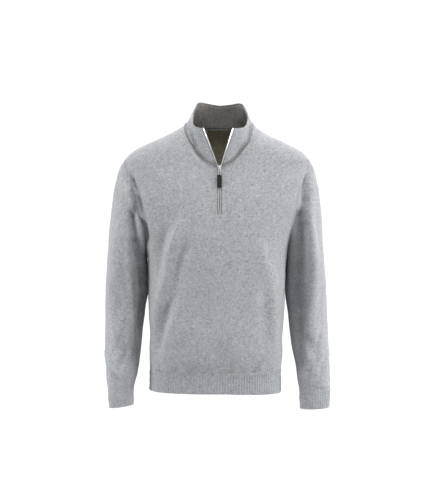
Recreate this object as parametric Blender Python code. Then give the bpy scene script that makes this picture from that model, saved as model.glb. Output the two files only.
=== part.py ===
"""Half-zip sweatshirt, filled out as if worn, with nobody in it.

Frame: +Z up, the front faces -Y, +X is to the viewer's right. The origin is the middle of the base of the
neck, level with the high points of the shoulders. Tables and named sizes are in millimetres.

Every piece of cloth is a wall worked out from sections: the torso's horizontal sections are superellipses
cut off at the armholes, the sleeves run from the armhole loop to oval rings, and the collar stands on the
neck seam.
"""

import math

import bmesh
import bpy
import numpy as np

MM = 0.001
SEAM = 0.3  # open line between two pieces that are sewn together

# Cloth
WALL = 2.0
LINING = 1.6
RIB_RISE = 0.8
RIB_PITCH = 6.2
RIB_INSIDE = 4  # outer points of a rib to each point of the plain inside

# Heights
NECK_SIDE = 3.0
NECK_BACK = -3.0
NECK_FRONT = -118.0
SHOULDER_TIP = -91.0
ARMPIT = -345.0
ZIP_BOTTOM = -237.0
HEM_TOP = -641.0
HEM_BOTTOM = -697.0
SLEEVE_RING = -368.0
CUFF_TOP = -688.0
CUFF_BOTTOM = {-1: -736.0, 1: -741.0}
CUFF_TILT = {-1: 0.03, 1: -0.06}  # slope of the cuff's lower edge across the arm, beyond the arm's own
HEM_DROP = 0.035  # slope by which the hem hangs lower towards the right, from this far off the middle
HEM_DROP_FROM = 20.0

# Torso
ROUNDNESS = 2.4  # exponent of the torso's superellipse
NECK_SHIFT = 6.7  # neck and zip lie this far to the right of the body's middle
NECK_TURN = -32.0  # height on the shoulder seam below which the shoulders no longer follow that shift
ARMHOLE_FRONT = 55.0
ARMHOLE_BACK = 60.0
ARMHOLE_ROUNDNESS = 0.6
CHEST_ROW = -170.0  # height at the armhole of the row that starts at the foot of the neck

# Grid of the panels
SIDE_COLUMNS = 16
BACK_COLUMNS = 13
BACK_NECK_COLUMNS = 4
BODY_ROWS = 9
CHEST_ROWS = 8
SHOULDER_ROWS = 6
ZIP_ROWS = 4  # of the chest rows, those beside the zip
COLLAR_ROWS = 5
HEAD_ROWS = 7
ARM_ROWS = 10
HEM_CROWDING = 1.35  # rows lie closer together near the hem, where the panels are gathered
RIDGE_CROWDING = 1.35  # and near the shoulder seam, where they turn over

# Zip
SLOT = 5.3  # half of the opening that the zip fills
TAPE_GAP = 0.35
TAPE_WALL = 1.0
SLIDER = -121.0
SLIDER_LEAN = 0.7  # the slider leans less than the front below it, because the collar stands straighter
# Outline from the top, as x and z from the slider's spot on the cloth
SLIDER_PLATE = [(-3.4, 10), (-4.8, 8), (-4.5, -6), (-3.2, -10), (3.2, -10), (4.5, -6), (4.8, 8), (3.4, 10)]
SLIDER_FRONT = (-2.3, -1.2)  # from and to, back from the cloth's face
SLIDER_BEHIND = (2.8, 3.7)
SLIDER_POST = ((-1.3, 8.0), (1.3, 9.7))
# The bail that the pull hangs in, as y and z
SLIDER_BAIL = [
    (-2.0, -1.2), (-5.0, -1.2), (-6.0, 0.0), (-6.0, 5.4), (-5.0, 6.6),
    (-2.0, 6.6), (-2.0, 5.4), (-4.9, 5.2), (-4.9, 0.2), (-2.0, 0.0),
]
BAIL_HALF = 1.1
HINGE = (-3.6, 2.7)  # from the slider's spot on the cloth: outward, up
LINK_TOP = 0.75
LINK_BOTTOM = -23.0
LINK_WIDTH = 8.0
LINK_BAR = 1.4
LINK_WALL = 1.2
TAB_DROP = 19.5  # from the hinge to the top of the tab
TAB_LENGTH = 35.0
TAB_WIDTH = 12.6
TAB_WAIST = 0.5
TAB_CORNER = 4.0
TAB_WALL = 3.0
STOP_FACE = ((-2.6, 0.6), (2.6, 3.6))
STOP_DEPTH = (-1.4, 0.2)
STOP_SPAN = 10.0  # the front's lean is read this far above and below the stop


def table(columns, rows):
    """Named columns of numbers."""
    return dict(zip(columns.split(), np.array(rows, float).T))


# Width to the seam, shift of the middle, and depths to the front and back of the seam's plane
TORSO = table(
    "z edge middle front back seam",
    [
        (-697, 173.0, -5.0, 115, 113, 0),
        (-641, 173.0, -4.0, 117, 115, 0),
        (-618, 175.0, -3.0, 126, 122, 0),
        (-560, 174.5, -2.0, 128, 121, 0),
        (-470, 180.0, -1.0, 129, 117, 0),
        (-400, 181.5, -0.5, 131, 113, 0),
        (-345, 184.0, 0.0, 131, 112, 0),
        (-289, 191.5, 0.0, 129, 113, 1),
        (-240, 201.0, 0.0, 125, 115, 2),
        (-196, 211.0, 0.0, 117, 117, 3),
        (-150, 225.0, 0.0, 104, 115, 4),
        (-120, 236.0, 0.0, 95, 109, 5),
        (-91, 245.0, 0.0, 87, 101, 5),
        (-69, 245.0, 0.0, 81, 95, 5),
        (-48, 245.0, 0.0, 75, 88, 5),
        (-26, 245.0, 0.0, 68, 78, 4),
        (-5, 245.0, 0.0, 61, 64, 3),
        (3, 245.0, 0.0, 59, 60, 3),
    ],
)

# The shoulder seam, from its tip to the neck
SHOULDER = table(
    "z edge",
    [(-91, 245), (-69, 224), (-48, 184), (-26, 136), (-5, 101), (3, 91)],
)

# The neck seam in front, from the zip to the shoulder, and behind, from the middle to the shoulder
NECKLINE = {
    "front": table(
        "x z",
        [(SLOT, NECK_FRONT), (32, -103), (58, -76), (77, -48), (88, -21), (91, NECK_SIDE)],
    ),
    "back": table("x z", [(0, NECK_BACK), (45, -1.5), (75, 1), (91, NECK_SIDE)]),
}

# The collar's rim, from the viewer's left end round the back to the right end, from the middle of the neck
RIM = table(
    "x y z",
    [
        (-45, -83, -15),
        (-57, -74, -12),
        (-68, -56, -6),
        (-72, -30, 8),
        (-69, 8, 32),
        (-65, 38, 54),
        (-56, 60, 69),
        (-30, 72, 67),
        (0, 75, 63),
        (30, 72, 65),
        (59, 60, 67),
        (70, 38, 52),
        (76, 8, 30),
        (75, -30, 8),
        (67, -56, -8),
        (52, -74, -13),
        (38, -85, -15),
    ],
)

# How far the collar swells out between its seam and its rim, along its length
COLLAR_SWELL = table("share out", [(0, 0), (0.12, 5), (0.3, -3), (0.5, 1), (0.7, -3), (0.88, 5), (1, 0)])

# Sleeve rings: outer and inner edge, middle and half depth, and the ring's slope from inner to outer edge
SLEEVES = {
    -1: table(
        "z out inn y depth slope",
        [
            (-368, 291.5, 184.4, 13, 80, 0.0),
            (-405, 294.0, 183.4, 16, 76, 0.0),
            (-445, 296.0, 184.2, 18, 71, 0.0),
            (-472, 297.0, 188.0, 19, 68, 0.0),
            (-520, 297.0, 194.5, 14, 63, 0.0),
            (-578, 296.0, 200.0, 2, 57, 0.0),
            (-630, 293.0, 205.0, -14, 51, -0.02),
            (-668, 289.5, 211.5, -25, 44, -0.06),
            (-688, 285.5, 217.0, -31, 38, -0.11),
            (-744, 281.5, 218.0, -37, 35, -0.17),
        ],
    ),
    1: table(
        "z out inn y depth slope",
        [
            (-368, 286.0, 184.2, 13, 80, 0.0),
            (-405, 289.5, 182.6, 16, 76, 0.0),
            (-445, 292.0, 182.6, 18, 71, 0.0),
            (-472, 293.5, 186.0, 19, 68, 0.0),
            (-520, 294.5, 191.5, 14, 63, 0.0),
            (-578, 295.5, 197.0, 2, 57, 0.0),
            (-630, 297.0, 207.0, -14, 50, 0.02),
            (-668, 297.5, 212.0, -25, 42, 0.05),
            (-688, 297.0, 215.5, -31, 36, 0.07),
            (-744, 293.5, 218.0, -37, 32, 0.11),
        ],
    ),
}
SLEEVE_ROUNDNESS = 2.15
CUFF_FADE = 18.0  # folds fade out this far above the cuff
PLAIN_INSIDE = 30.0  # degrees each side of the inner edge that stay free of folds
PLAIN_FADE = 0.1  # change in the turn's cosine over which they come back
# Direction in which the sleeve leaves the armhole at the shoulder's tip and at the armpit, as outward and
# down, how far it turns forward and back between them, and how strongly it holds its direction at both ends
LEAVE_TIP = (0.67, 0.74)
LEAVE_PIT = (0.33, 0.9)
LEAVE_FORWARD = 0.3
LEAVE_PULL = 0.55
ARRIVE_PULL = 0.9
HEAD_FADE = (0.3, 0.15)  # folds fade over these shares of the head, at the armhole and at the first ring
FOLD_FADE = 0.25  # a fold fades out from this share of its length before its end to as far past it
SIDE_FADE = 0.12  # and the panels' folds over this share of the way in from the side seam
FACING_START = 0.07  # share of the collar's height at which its facing starts

# Folds of the panels: from (x0, z0) to (x1, z1), how wide and how high. Below zero is a trough.
FOLDS = {
    "front": table(
        "x0 z0 x1 z1 wide high",
        [
            (-88, -252, -112, -330, 13, 3.5),
            (-112, -330, -150, -505, 14, 4.5),
            (-78, -318, -94, -440, 15, -3.0),
            (-140, -300, -150, -400, 13, -3.0),
            (-118, -470, -158, -600, 13, -4.0),
            (-104, -490, -134, -585, 14, 3.5),
            (150, -425, 148, -585, 14, 4.0),
            (122, -400, 120, -570, 16, -3.0),
            (96, -300, 132, -430, 18, 2.5),
            (30, -545, 48, -620, 20, 2.5),
            (-40, -520, -60, -625, 22, 2.5),
        ],
    ),
    "back": table(
        "x0 z0 x1 z1 wide high",
        [
            (-70, -180, -20, -330, 24, 3.0),
            (84, -170, 40, -340, 24, 3.5),
            (-120, -330, -150, -500, 15, 4.0),
            (-86, -360, -112, -520, 18, -3.0),
            (126, -340, 152, -520, 15, 4.0),
            (96, -380, 118, -540, 18, -3.5),
            (-30, -470, -52, -620, 22, 3.0),
            (38, -500, 62, -625, 20, 3.0),
        ],
    ),
}

# Puckers where the panels are gathered into the hem rib: place, lean to the side, reach upward, width, depth
GATHERS = {
    "front": table(
        "x lean reach wide deep",
        [
            (-150, -6, 46, 9, 4.5),
            (-104, 6, 26, 8, 3.0),
            (-66, 18, 40, 9, 4.5),
            (-30, 8, 24, 8, 2.5),
            (30, 3, 38, 9, 4.0),
            (62, -6, 24, 8, 2.5),
            (92, 22, 34, 9, 4.5),
            (128, 16, 26, 8, 3.5),
        ],
    ),
    "back": table(
        "x lean reach wide deep",
        [
            (-142, 8, 34, 9, 4.0),
            (-96, -8, 26, 8, 3.0),
            (-52, 10, 38, 9, 4.0),
            (-8, -4, 26, 8, 3.0),
            (40, 12, 34, 9, 4.0),
            (84, -6, 24, 8, 3.0),
            (132, 10, 36, 9, 4.0),
        ],
    ),
}

# Folds of the sleeves: turn from the outer edge (90 in front, 270 behind) and height at both ends, width in
# degrees, and how high
SLEEVE_FOLDS = {
    -1: table(
        "turn0 z0 turn1 z1 wide high",
        [
            (112, -190, 128, -360, 20, 6.0),
            (82, -210, 92, -360, 16, -4.0),
            (122, -360, 124, -560, 20, 7.0),
            (60, -420, 96, -500, 14, -4.0),
            (40, -300, 70, -400, 16, 3.0),
            (90, -560, 120, -640, 16, -4.0),
            (270, -420, 250, -520, 16, -5.0),
            (290, -300, 262, -440, 18, 4.0),
            (255, -560, 285, -640, 16, -4.0),
            (20, -600, 70, -655, 14, 4.0),
        ],
    ),
    1: table(
        "turn0 z0 turn1 z1 wide high",
        [
            (70, -200, 70, -420, 16, 8.0),
            (70, -420, 86, -560, 18, 7.0),
            (104, -220, 112, -420, 20, -5.0),
            (44, -430, 78, -510, 14, -4.0),
            (96, -560, 64, -650, 16, -4.0),
            (268, -410, 292, -510, 16, -5.0),
            (250, -300, 276, -440, 18, 4.0),
            (284, -560, 252, -640, 16, -4.0),
            (24, -590, 66, -660, 14, 4.0),
        ],
    ),
}

COLOURS = {
    "marl": ((0.42, 0.43, 0.45, 1), 0.9, 0.0),
    "rib": ((0.41, 0.42, 0.44, 1), 0.9, 0.0),
    "lining": ((0.1, 0.095, 0.09, 1), 0.9, 0.0),
    "tape": ((0.5, 0.5, 0.52, 1), 0.8, 0.0),
    "metal": ((0.75, 0.75, 0.76, 1), 0.3, 1.0),
    "rubber": ((0.02, 0.022, 0.02, 1), 0.5, 0.0),
}


def smooth(source, column, at, key="z"):
    """A cubic curve through a table's column, read at a value of its key column."""
    xs, ys = source[key], source[column]
    order = np.argsort(xs)
    xs, ys = xs[order], ys[order]
    rates = np.gradient(ys, xs)
    at = np.clip(at, xs[0], xs[-1])
    i = np.clip(np.searchsorted(xs, at) - 1, 0, len(xs) - 2)
    span = xs[i + 1] - xs[i]
    t = (at - xs[i]) / span
    rise = ys[i + 1] - ys[i]
    ease = t * t * (3 - 2 * t)
    lead = t * (1 - t) ** 2
    trail = t * t * (t - 1)
    return ys[i] + rise * ease + span * (lead * rates[i] + trail * rates[i + 1])


def ease(t):
    t = np.clip(t, 0.0, 1.0)
    return t * t * (3 - 2 * t)


def unit(vectors):
    return vectors / np.maximum(np.linalg.norm(vectors, axis=-1, keepdims=True), 1e-12)


def at_shares(values, points, shares):
    """Values read at shares of the way along a dense line of points."""
    steps = np.linalg.norm(np.diff(points, axis=0), axis=-1)
    way = np.concatenate([[0.0], np.cumsum(steps)])
    return np.interp(np.asarray(shares) * way[-1], way, values)


def fold_height(folds, across, z):
    """Height of all the folds of a table at a place, each a rounded line that fades at its ends."""
    total = np.zeros(np.broadcast(across, z).shape)
    keys = [key for key in folds if key[-1] in "01"]
    across0, z0, across1, z1 = (folds[key] for key in keys)
    for a0, b0, a1, b1, wide, high in zip(across0, z0, across1, z1, folds["wide"], folds["high"]):
        down = (z - b0) / (b1 - b0)
        line = a0 + (a1 - a0) * down
        fade = ease((down + FOLD_FADE) / (2 * FOLD_FADE)) * ease((1 + FOLD_FADE - down) / (2 * FOLD_FADE))
        total = total + high * fade * np.exp(-(((across - line) / wide) ** 2))
    return total


def gather_height(side, x, z):
    """Puckers above the hem rib."""
    rows = GATHERS[side]
    total = np.zeros(np.broadcast(x, z).shape)
    for place, lean, reach, wide, deep in zip(*(rows[key] for key in rows)):
        up = (z - HEM_TOP) / reach
        line = place + lean * up
        total = total - deep * (1 - ease(up)) * np.exp(-(((x - line) / wide) ** 2))
    return total


# ---------------------------------------------------------------- torso

def armhole_depth(side, z):
    """How far in front of or behind the seam's plane the armhole lies."""
    share = np.clip((z - ARMPIT) / (SHOULDER_TIP - ARMPIT), 0.0, 1.0)
    widest = ARMHOLE_FRONT if side == "front" else ARMHOLE_BACK
    return widest * np.sin(math.pi * share) ** ARMHOLE_ROUNDNESS


def section(side, z):
    """Half width, depth and end angle of the torso's section at a height."""
    depth = smooth(TORSO, side, z)
    edge = np.where(z > SHOULDER_TIP, smooth(SHOULDER, "edge", z), smooth(TORSO, "edge", z))
    close = armhole_depth(side, z) / depth
    across = (1 - close ** ROUNDNESS) ** (1 / ROUNDNESS)
    return edge / across, depth, np.arctan2(across, close)


def smooth_torso(side, reach, z):
    """The torso without its folds. Reach is 0 on the middle line and 1 at the side, armhole or shoulder."""
    width, depth, end = section(side, z)
    angle = np.abs(reach) * end
    spread = (np.abs(np.sin(angle)) ** ROUNDNESS + np.abs(np.cos(angle)) ** ROUNDNESS) ** (-1 / ROUNDNESS)
    facing = -1 if side == "front" else 1
    rise = ease((z - NECK_TURN) / (NECK_SIDE - NECK_TURN))
    shift = NECK_SHIFT * (1 - np.abs(reach) * (1 - rise))
    x = np.sign(reach) * width * spread * np.sin(angle) + shift + smooth(TORSO, "middle", z)
    y = smooth(TORSO, "seam", z) + facing * depth * spread * np.cos(angle)
    return np.stack([x, y, z + 0 * x], axis=-1)


def torso(side, reach, z):
    """A point of the torso's outer face."""
    points = smooth_torso(side, reach, z)
    width, depth, _ = section(side, z)
    seam = smooth(TORSO, "seam", z)
    out = np.stack(
        [points[..., 0] / width**2, (points[..., 1] - seam) / depth**2, np.zeros_like(width * reach)],
        axis=-1,
    )
    height = fold_height(FOLDS[side], points[..., 0], z) + gather_height(side, points[..., 0], z)
    height = height * ease((1 - np.abs(reach)) / SIDE_FADE)
    return points + unit(out) * height[..., None]


def torso_normal(side, reach, z):
    """The outward direction of the torso's face."""
    near, low = 0.003, 1.0
    inward = reach - near * np.sign(reach + 1e-9)
    across = (torso(side, reach, z) - torso(side, inward, z)) * np.sign(reach + 1e-9)[..., None]
    along = torso(side, reach, z + low) - torso(side, reach, z - low)
    normal = unit(np.cross(across, along))
    return normal if side == "front" else -normal


def half_girth(side, z):
    """Length of the section from the middle line to its edge."""
    z = np.asarray(z, float)
    shares = np.linspace(0, 1, 41).reshape((-1,) + (1,) * z.ndim)
    points = smooth_torso(side, shares + 0 * z, z + 0 * shares)
    return np.linalg.norm(np.diff(points, axis=0), axis=-1).sum(axis=0)


def reach_of(side, x, z):
    """Reach of a place x from the middle line."""
    width, _, end = section(side, z)
    share = np.clip(x / width, 0.0, 1.0)
    return np.arctan2(share, (1 - share ** ROUNDNESS) ** (1 / ROUNDNESS)) / end


def seam_line(side, reach, z):
    """A line on the torso as (girth, z) pairs."""
    return np.stack([reach * half_girth(side, z), z], axis=-1)


def neck_line(side, shares):
    """The neck seam at shares of its length, as (girth, z) pairs."""
    rows = NECKLINE[side]
    dense = np.linspace(rows["x"][0], rows["x"][-1], 400)
    knots = np.arange(len(rows["x"]), dtype=float)
    place = np.linspace(0, knots[-1], 400)
    dense = smooth({"k": knots, "x": rows["x"]}, "x", place, "k")
    level = smooth({"k": knots, "z": rows["z"]}, "z", place, "k")
    reach = reach_of(side, dense, level)
    points = smooth_torso(side, reach, level)
    x = at_shares(dense, points, shares)
    z = at_shares(level, points, shares)
    return seam_line(side, np.minimum(reach_of(side, x, z), 1.0), z)


def edge_line(side, low, high, shares):
    """The side of the section from one height to another, at shares of its length."""
    dense = np.linspace(low, high, 400)
    points = smooth_torso(side, np.ones_like(dense), dense)
    z = at_shares(dense, points, shares)
    return seam_line(side, np.ones_like(z), z)


def coons(bottom, top, inner, outer, v):
    """A patch inside four lines. Rows follow v, columns follow the bottom and top lines' points."""
    u = np.linspace(0, 1, len(bottom))[None, :, None]
    v = v[:, None, None]
    ruled = (1 - v) * bottom[None] + v * top[None] + (1 - u) * inner[:, None] + u * outer[:, None]
    corners = (1 - v) * ((1 - u) * bottom[0] + u * bottom[-1]) + v * ((1 - u) * top[0] + u * top[-1])
    return ruled - corners


def body_levels(top):
    """Heights of the rows between the hem rib and the chest."""
    return HEM_TOP + (top - HEM_TOP) * np.linspace(0, 1, BODY_ROWS + 1) ** HEM_CROWDING


def shoulder_shares():
    """Shares of the way up the shoulder patch of its rows."""
    return 1 - (1 - np.linspace(0, 1, SHOULDER_ROWS + 1)) ** RIDGE_CROWDING


def half_panel(side, inner_levels, columns, first, top, inner, v):
    """Half of a panel as a grid of (reach, z), from the hem up and from the middle out."""
    outer_levels = np.concatenate([
        body_levels(ARMPIT),
        edge_line(side, ARMPIT, CHEST_ROW, np.arange(1, CHEST_ROWS + 1) / CHEST_ROWS)[:, 1],
    ])
    share = np.linspace(0, 1, columns + 1)
    z = inner_levels[:, None] + (outer_levels - inner_levels)[:, None] * share
    girth = half_girth(side, z)
    body = np.stack([first + (girth - first) * share, z], axis=-1)
    outer = edge_line(side, CHEST_ROW, SHOULDER_TIP, np.linspace(0, 1, len(v)))
    head = coons(body[-1], top, inner, outer, v)
    grid = np.concatenate([body, head[1:]])
    reach = grid[..., 0] / half_girth(side, grid[..., 1])
    reach = np.minimum(reach, 1 - 0.5 * SEAM / half_girth(side, grid[..., 1]))
    return reach, grid[..., 1]


def front_grid():
    """Reach and height of the front panel: left half, then right half, with the zip's slot between."""
    zip_levels = np.linspace(ZIP_BOTTOM, NECK_FRONT, ZIP_ROWS + 1)
    step = zip_levels[1] - zip_levels[0]
    waist = ZIP_BOTTOM - step * (CHEST_ROWS - ZIP_ROWS)
    inner_levels = np.concatenate([
        body_levels(waist),
        np.linspace(waist, ZIP_BOTTOM, CHEST_ROWS - ZIP_ROWS + 1)[1:],
        zip_levels[1:],
    ])
    v = shoulder_shares()
    top = edge_line("front", NECK_SIDE, SHOULDER_TIP, np.linspace(0, 1, SIDE_COLUMNS + 1))
    reach, z = half_panel("front", inner_levels, SIDE_COLUMNS, SLOT, top, neck_line("front", v), v)
    return np.concatenate([-reach[:, ::-1], reach], axis=1), np.concatenate([z[:, ::-1], z], axis=1)


def back_grid():
    """Reach and height of the back panel."""
    inner_levels = np.concatenate([
        body_levels(ARMPIT),
        np.linspace(ARMPIT, CHEST_ROW, CHEST_ROWS + 1)[1:],
    ])
    v = shoulder_shares()
    neck = neck_line("back", np.linspace(0, 1, BACK_NECK_COLUMNS + 1))
    shoulder_columns = BACK_COLUMNS - BACK_NECK_COLUMNS
    shoulder = edge_line("back", NECK_SIDE, SHOULDER_TIP, np.linspace(0, 1, shoulder_columns + 1))
    top = np.concatenate([neck, shoulder[1:]])
    middle = CHEST_ROW + (NECK_BACK - CHEST_ROW) * v
    inner = np.stack([0 * middle, middle], axis=-1)
    reach, z = half_panel("back", inner_levels, BACK_COLUMNS, 0.0, top, inner, v)
    return (
        np.concatenate([-reach[:, :0:-1], reach], axis=1),
        np.concatenate([z[:, :0:-1], z], axis=1),
    )


def panel_walls(side, grid):
    """Outer and inner points of a panel."""
    reach, z = grid
    outer = torso(side, reach, z)
    normal = torso_normal(side, reach, z)
    normal[0, :, 2] = 0
    normal = unit(normal)
    return outer, outer - WALL * normal


# ---------------------------------------------------------------- meshes

def grid_cells(rows, columns, closed=False, skip=None):
    """Four-cornered cells of a grid of points, as index lists."""
    cells = []
    for r in range(rows - 1):
        for c in range(columns if closed else columns - 1):
            if skip and skip(r, c):
                continue
            d = (c + 1) % columns
            cells.append((r * columns + c, r * columns + d, (r + 1) * columns + d, (r + 1) * columns + c))
    return cells


def rim_cells(cells, count):
    """Cells that close a wall along the edges that only one cell uses."""
    uses = {}
    for cell in cells:
        for a, b in zip(cell, cell[1:] + cell[:1]):
            uses[(a, b)] = True
    return [(b, a, a + count, b + count) for a, b in uses if (b, a) not in uses]


def new_object(name, points, faces, surface, smooth_shading=True):
    """One closed body, in metres, with its faces pointing out."""
    mesh = bpy.data.meshes.new(name)
    mesh.from_pydata([tuple(point) for point in np.asarray(points) * MM], [], faces)
    shape = bmesh.new()
    shape.from_mesh(mesh)
    bmesh.ops.recalc_face_normals(shape, faces=shape.faces)
    bmesh.ops.triangulate(shape, faces=shape.faces)
    shape.to_mesh(mesh)
    shape.free()
    if smooth_shading:
        mesh.shade_smooth()
    mesh.materials.append(surface)
    item = bpy.data.objects.new(name, mesh)
    bpy.context.scene.collection.objects.link(item)
    return item


def wall_object(name, outer, inner, surface, closed=False, skip=None):
    """A wall between two grids of points."""
    rows, columns = outer.shape[:2]
    cells = grid_cells(rows, columns, closed, skip)
    count = rows * columns
    inside = [tuple(i + count for i in reversed(cell)) for cell in cells]
    points = np.concatenate([outer.reshape(-1, 3), inner.reshape(-1, 3)])
    return new_object(name, points, cells + inside + rim_cells(cells, count), surface)


def material(name):
    colour, roughness, metallic = COLOURS[name]
    made = bpy.data.materials.new(name)
    made.use_nodes = True
    shader = made.node_tree.nodes["Principled BSDF"]
    shader.inputs["Base Color"].default_value = colour
    shader.inputs["Roughness"].default_value = roughness
    shader.inputs["Metallic"].default_value = metallic
    return made


def grid_normals(points, closed=False):
    """Directions square to a grid's face, by the differences between its points."""
    along = np.gradient(points, axis=0)
    if closed:
        across = np.roll(points, -1, axis=1) - np.roll(points, 1, axis=1)
    else:
        across = np.gradient(points, axis=1)
    return unit(np.cross(across, along))


def step_off(outer, inner, away, closed=False):
    """A seam's two edges moved across the open line, square to the seam and towards a side."""
    if closed:
        along = np.roll(outer, -1, axis=0) - np.roll(outer, 1, axis=0)
    else:
        along = np.gradient(outer, axis=0)
    across = unit(np.cross(along, outer - inner))
    across = across * np.sign((across * away).sum(axis=-1, keepdims=True))
    return outer + SEAM * across, inner + SEAM * across, across


# ---------------------------------------------------------------- sleeves

def sleeve_angles(loop):
    """Turn round the sleeve of each point of an armhole loop, from the shoulder's tip forward."""
    steps = np.linalg.norm(np.roll(loop, -1, axis=0) - loop, axis=-1)
    half = len(loop) // 2
    front = math.pi * np.concatenate([[0], np.cumsum(steps[:half])]) / steps[:half].sum()
    back = math.pi * (1 + np.concatenate([[0], np.cumsum(steps[half:])]) / steps[half:].sum())
    return np.concatenate([front, back[1:-1]])


def sleeve_fold(side, angle, z):
    turn = np.degrees(angle) % 360
    return fold_height(SLEEVE_FOLDS[side], turn, z)


def sleeve_ring(side, angle, z):
    """A point of the sleeve below its head."""
    rows = SLEEVES[side]
    out, inn = smooth(rows, "out", z), smooth(rows, "inn", z)
    middle, half = (out + inn) / 2, (out - inn) / 2
    n = SLEEVE_ROUNDNESS
    spread = (np.abs(np.cos(angle)) ** n + np.abs(np.sin(angle)) ** n) ** (-1 / n)
    fade = ease((z - CUFF_TOP) / CUFF_FADE)
    inside = ease((-math.cos(math.radians(PLAIN_INSIDE)) - np.cos(angle)) / PLAIN_FADE)
    bump = sleeve_fold(side, angle, z) * fade * (1 - inside)
    x = middle + (half * spread + bump) * np.cos(angle)
    y = smooth(rows, "y", z) - (smooth(rows, "depth", z) * spread + bump) * np.sin(angle)
    level = z + smooth(rows, "slope", z) * (x - middle)
    return np.stack([side * x, y, level + 0 * x], axis=-1)


def sleeve_head(side, start, angle, shares):
    """Rings from the armhole to the first oval ring, each line leaving the armhole out and down."""
    ring, below = (sleeve_ring(side, angle, np.full_like(angle, SLEEVE_RING - low)) for low in (0.0, 4.0))
    chord = np.linalg.norm(ring - start, axis=-1, keepdims=True)
    over_tip = (1 + np.cos(angle)) / 2
    outward = LEAVE_PIT[0] + (LEAVE_TIP[0] - LEAVE_PIT[0]) * over_tip
    down = LEAVE_PIT[1] + (LEAVE_TIP[1] - LEAVE_PIT[1]) * over_tip
    leave = unit(np.stack([side * outward, -LEAVE_FORWARD * np.sin(angle), -down], axis=-1))
    arrive = unit(below - ring)
    t = np.asarray(shares)[:, None, None]
    pull = t * (1 - t) ** 2 * LEAVE_PULL * leave + t * t * (t - 1) * ARRIVE_PULL * arrive
    lines = start + (ring - start) * ease(t) + chord * pull
    fade = ease(t[..., 0] / HEAD_FADE[0]) * ease((1 - t[..., 0]) / HEAD_FADE[1])
    bump = sleeve_fold(side, angle, lines[..., 2]) * fade
    out = np.stack([side * np.cos(angle), -np.sin(angle), 0 * angle], axis=-1)
    return lines + out * bump[..., None]


def armhole_loop(side, front, back):
    """Outer and inner points of an armhole's edges: the tip, down the front, the armpit, up the back."""
    column = -1 if side > 0 else 0
    pick = slice(BODY_ROWS, None)
    fronts = [wall[pick, column][::-1] for wall in front]
    backs = [wall[pick, column] for wall in back]
    loops = []
    for f, b in zip(fronts, backs):
        tip = (f[0] + b[-1]) / 2
        pit = (f[-1] + b[0]) / 2
        loops.append(np.concatenate([[tip], f[1:-1], [pit], b[1:-1]]))
    return loops


def add_sleeve(name, side, front, back, cloth):
    loop_outer, loop_inner = armhole_loop(side, front, back)
    away = np.array([side, 0.0, -0.3])
    start, start_inner, _ = step_off(loop_outer, loop_inner, away, closed=True)
    angle = sleeve_angles(loop_outer)
    shares = np.arange(1, HEAD_ROWS + 1) / HEAD_ROWS
    head = sleeve_head(side, start, angle, shares)
    levels = np.linspace(SLEEVE_RING, CUFF_TOP, ARM_ROWS + 1)[1:]
    arm = np.stack([sleeve_ring(side, angle, np.full_like(angle, z)) for z in levels])
    outer = np.concatenate([start[None], head, arm])
    normals = grid_normals(outer, closed=True) * side
    inner = outer - WALL * normals
    inner[0] = start_inner
    inner[-1] = flat_inner(outer[-1], WALL)
    return wall_object(name, outer, inner, cloth, closed=True)


def flat_inner(ring, wall):
    """A closed ring moved in by a wall, in its own plane."""
    along = unit(np.roll(ring, -1, axis=0) - np.roll(ring, 1, axis=0))
    middle = ring.mean(axis=0)
    radial = middle - ring
    radial = radial - (radial * along).sum(axis=-1, keepdims=True) * along
    return ring + wall * unit(radial)


# ---------------------------------------------------------------- ribs

def add_rib(name, place, ribs, cloth):
    """A ribbed tube. place(turn, share) gives the plain outer face, from the top (0) to the bottom (1)."""
    count = 2 * ribs
    turns = np.arange(count) * 2 * math.pi / count
    rings = [place(turns, share) for share in (0.0, 1.0)]
    raised = (np.arange(count) % 2 == 0)[:, None]
    outer = [flat_inner(ring, -RIB_RISE * raised) for ring in rings]
    inner = [flat_inner(ring, WALL)[::RIB_INSIDE] for ring in rings]
    few = len(inner[0])
    start = 2 * count
    faces = grid_cells(2, count, closed=True)
    for cell in grid_cells(2, few, closed=True):
        faces.append(tuple(start + i for i in reversed(cell)))
    for level in (0, 1):
        for k in range(few):
            near = start + level * few + k
            after = start + level * few + (k + 1) % few
            for step in range(RIB_INSIDE):
                a = level * count + k * RIB_INSIDE + step
                b = level * count + (k * RIB_INSIDE + step + 1) % count
                faces.append((a, b, near) if level else (b, a, near))
            last = level * count + ((k + 1) * RIB_INSIDE) % count
            faces.append((last, after, near) if level else (after, last, near))
    return new_object(name, np.concatenate(outer + inner), faces, cloth)


def hem_place(turn, share):
    """The hem rib's plain face: turn 0 is at the viewer's right side seam, a quarter is in front."""
    z = HEM_TOP - SEAM + (HEM_BOTTOM - HEM_TOP + SEAM) * share
    angle = np.asarray(turn) % (2 * math.pi)
    in_front = angle < math.pi
    quarter = np.where(in_front, angle - math.pi / 2, 3 * math.pi / 2 - angle)
    reach = -quarter / (math.pi / 2)
    level = np.full_like(reach, z)
    front, back = (smooth_torso(side, reach, level) for side in ("front", "back"))
    points = np.where(in_front[:, None], front, back)
    points[:, 2] -= share * HEM_DROP * np.maximum(points[:, 0] - HEM_DROP_FROM, 0)
    return points


def cuff_place(side):
    def place(turn, share):
        z = CUFF_TOP + (CUFF_BOTTOM[side] - CUFF_TOP) * share
        points = sleeve_ring(side, np.asarray(turn), np.full(len(turn), z))
        across = side * points[:, 0]
        points[:, 2] += share * CUFF_TILT[side] * (across - across.mean()) - SEAM
        return points

    return place


def rib_count(place):
    """Whole ribs round a tube, in fours so that its plain inside closes."""
    ring = place(np.linspace(0, 2 * math.pi, 181)[:-1], 0.5)
    length = np.linalg.norm(np.roll(ring, -1, axis=0) - ring, axis=-1).sum()
    return 4 * round(length / RIB_PITCH / 4)


# ---------------------------------------------------------------- collar

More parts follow.
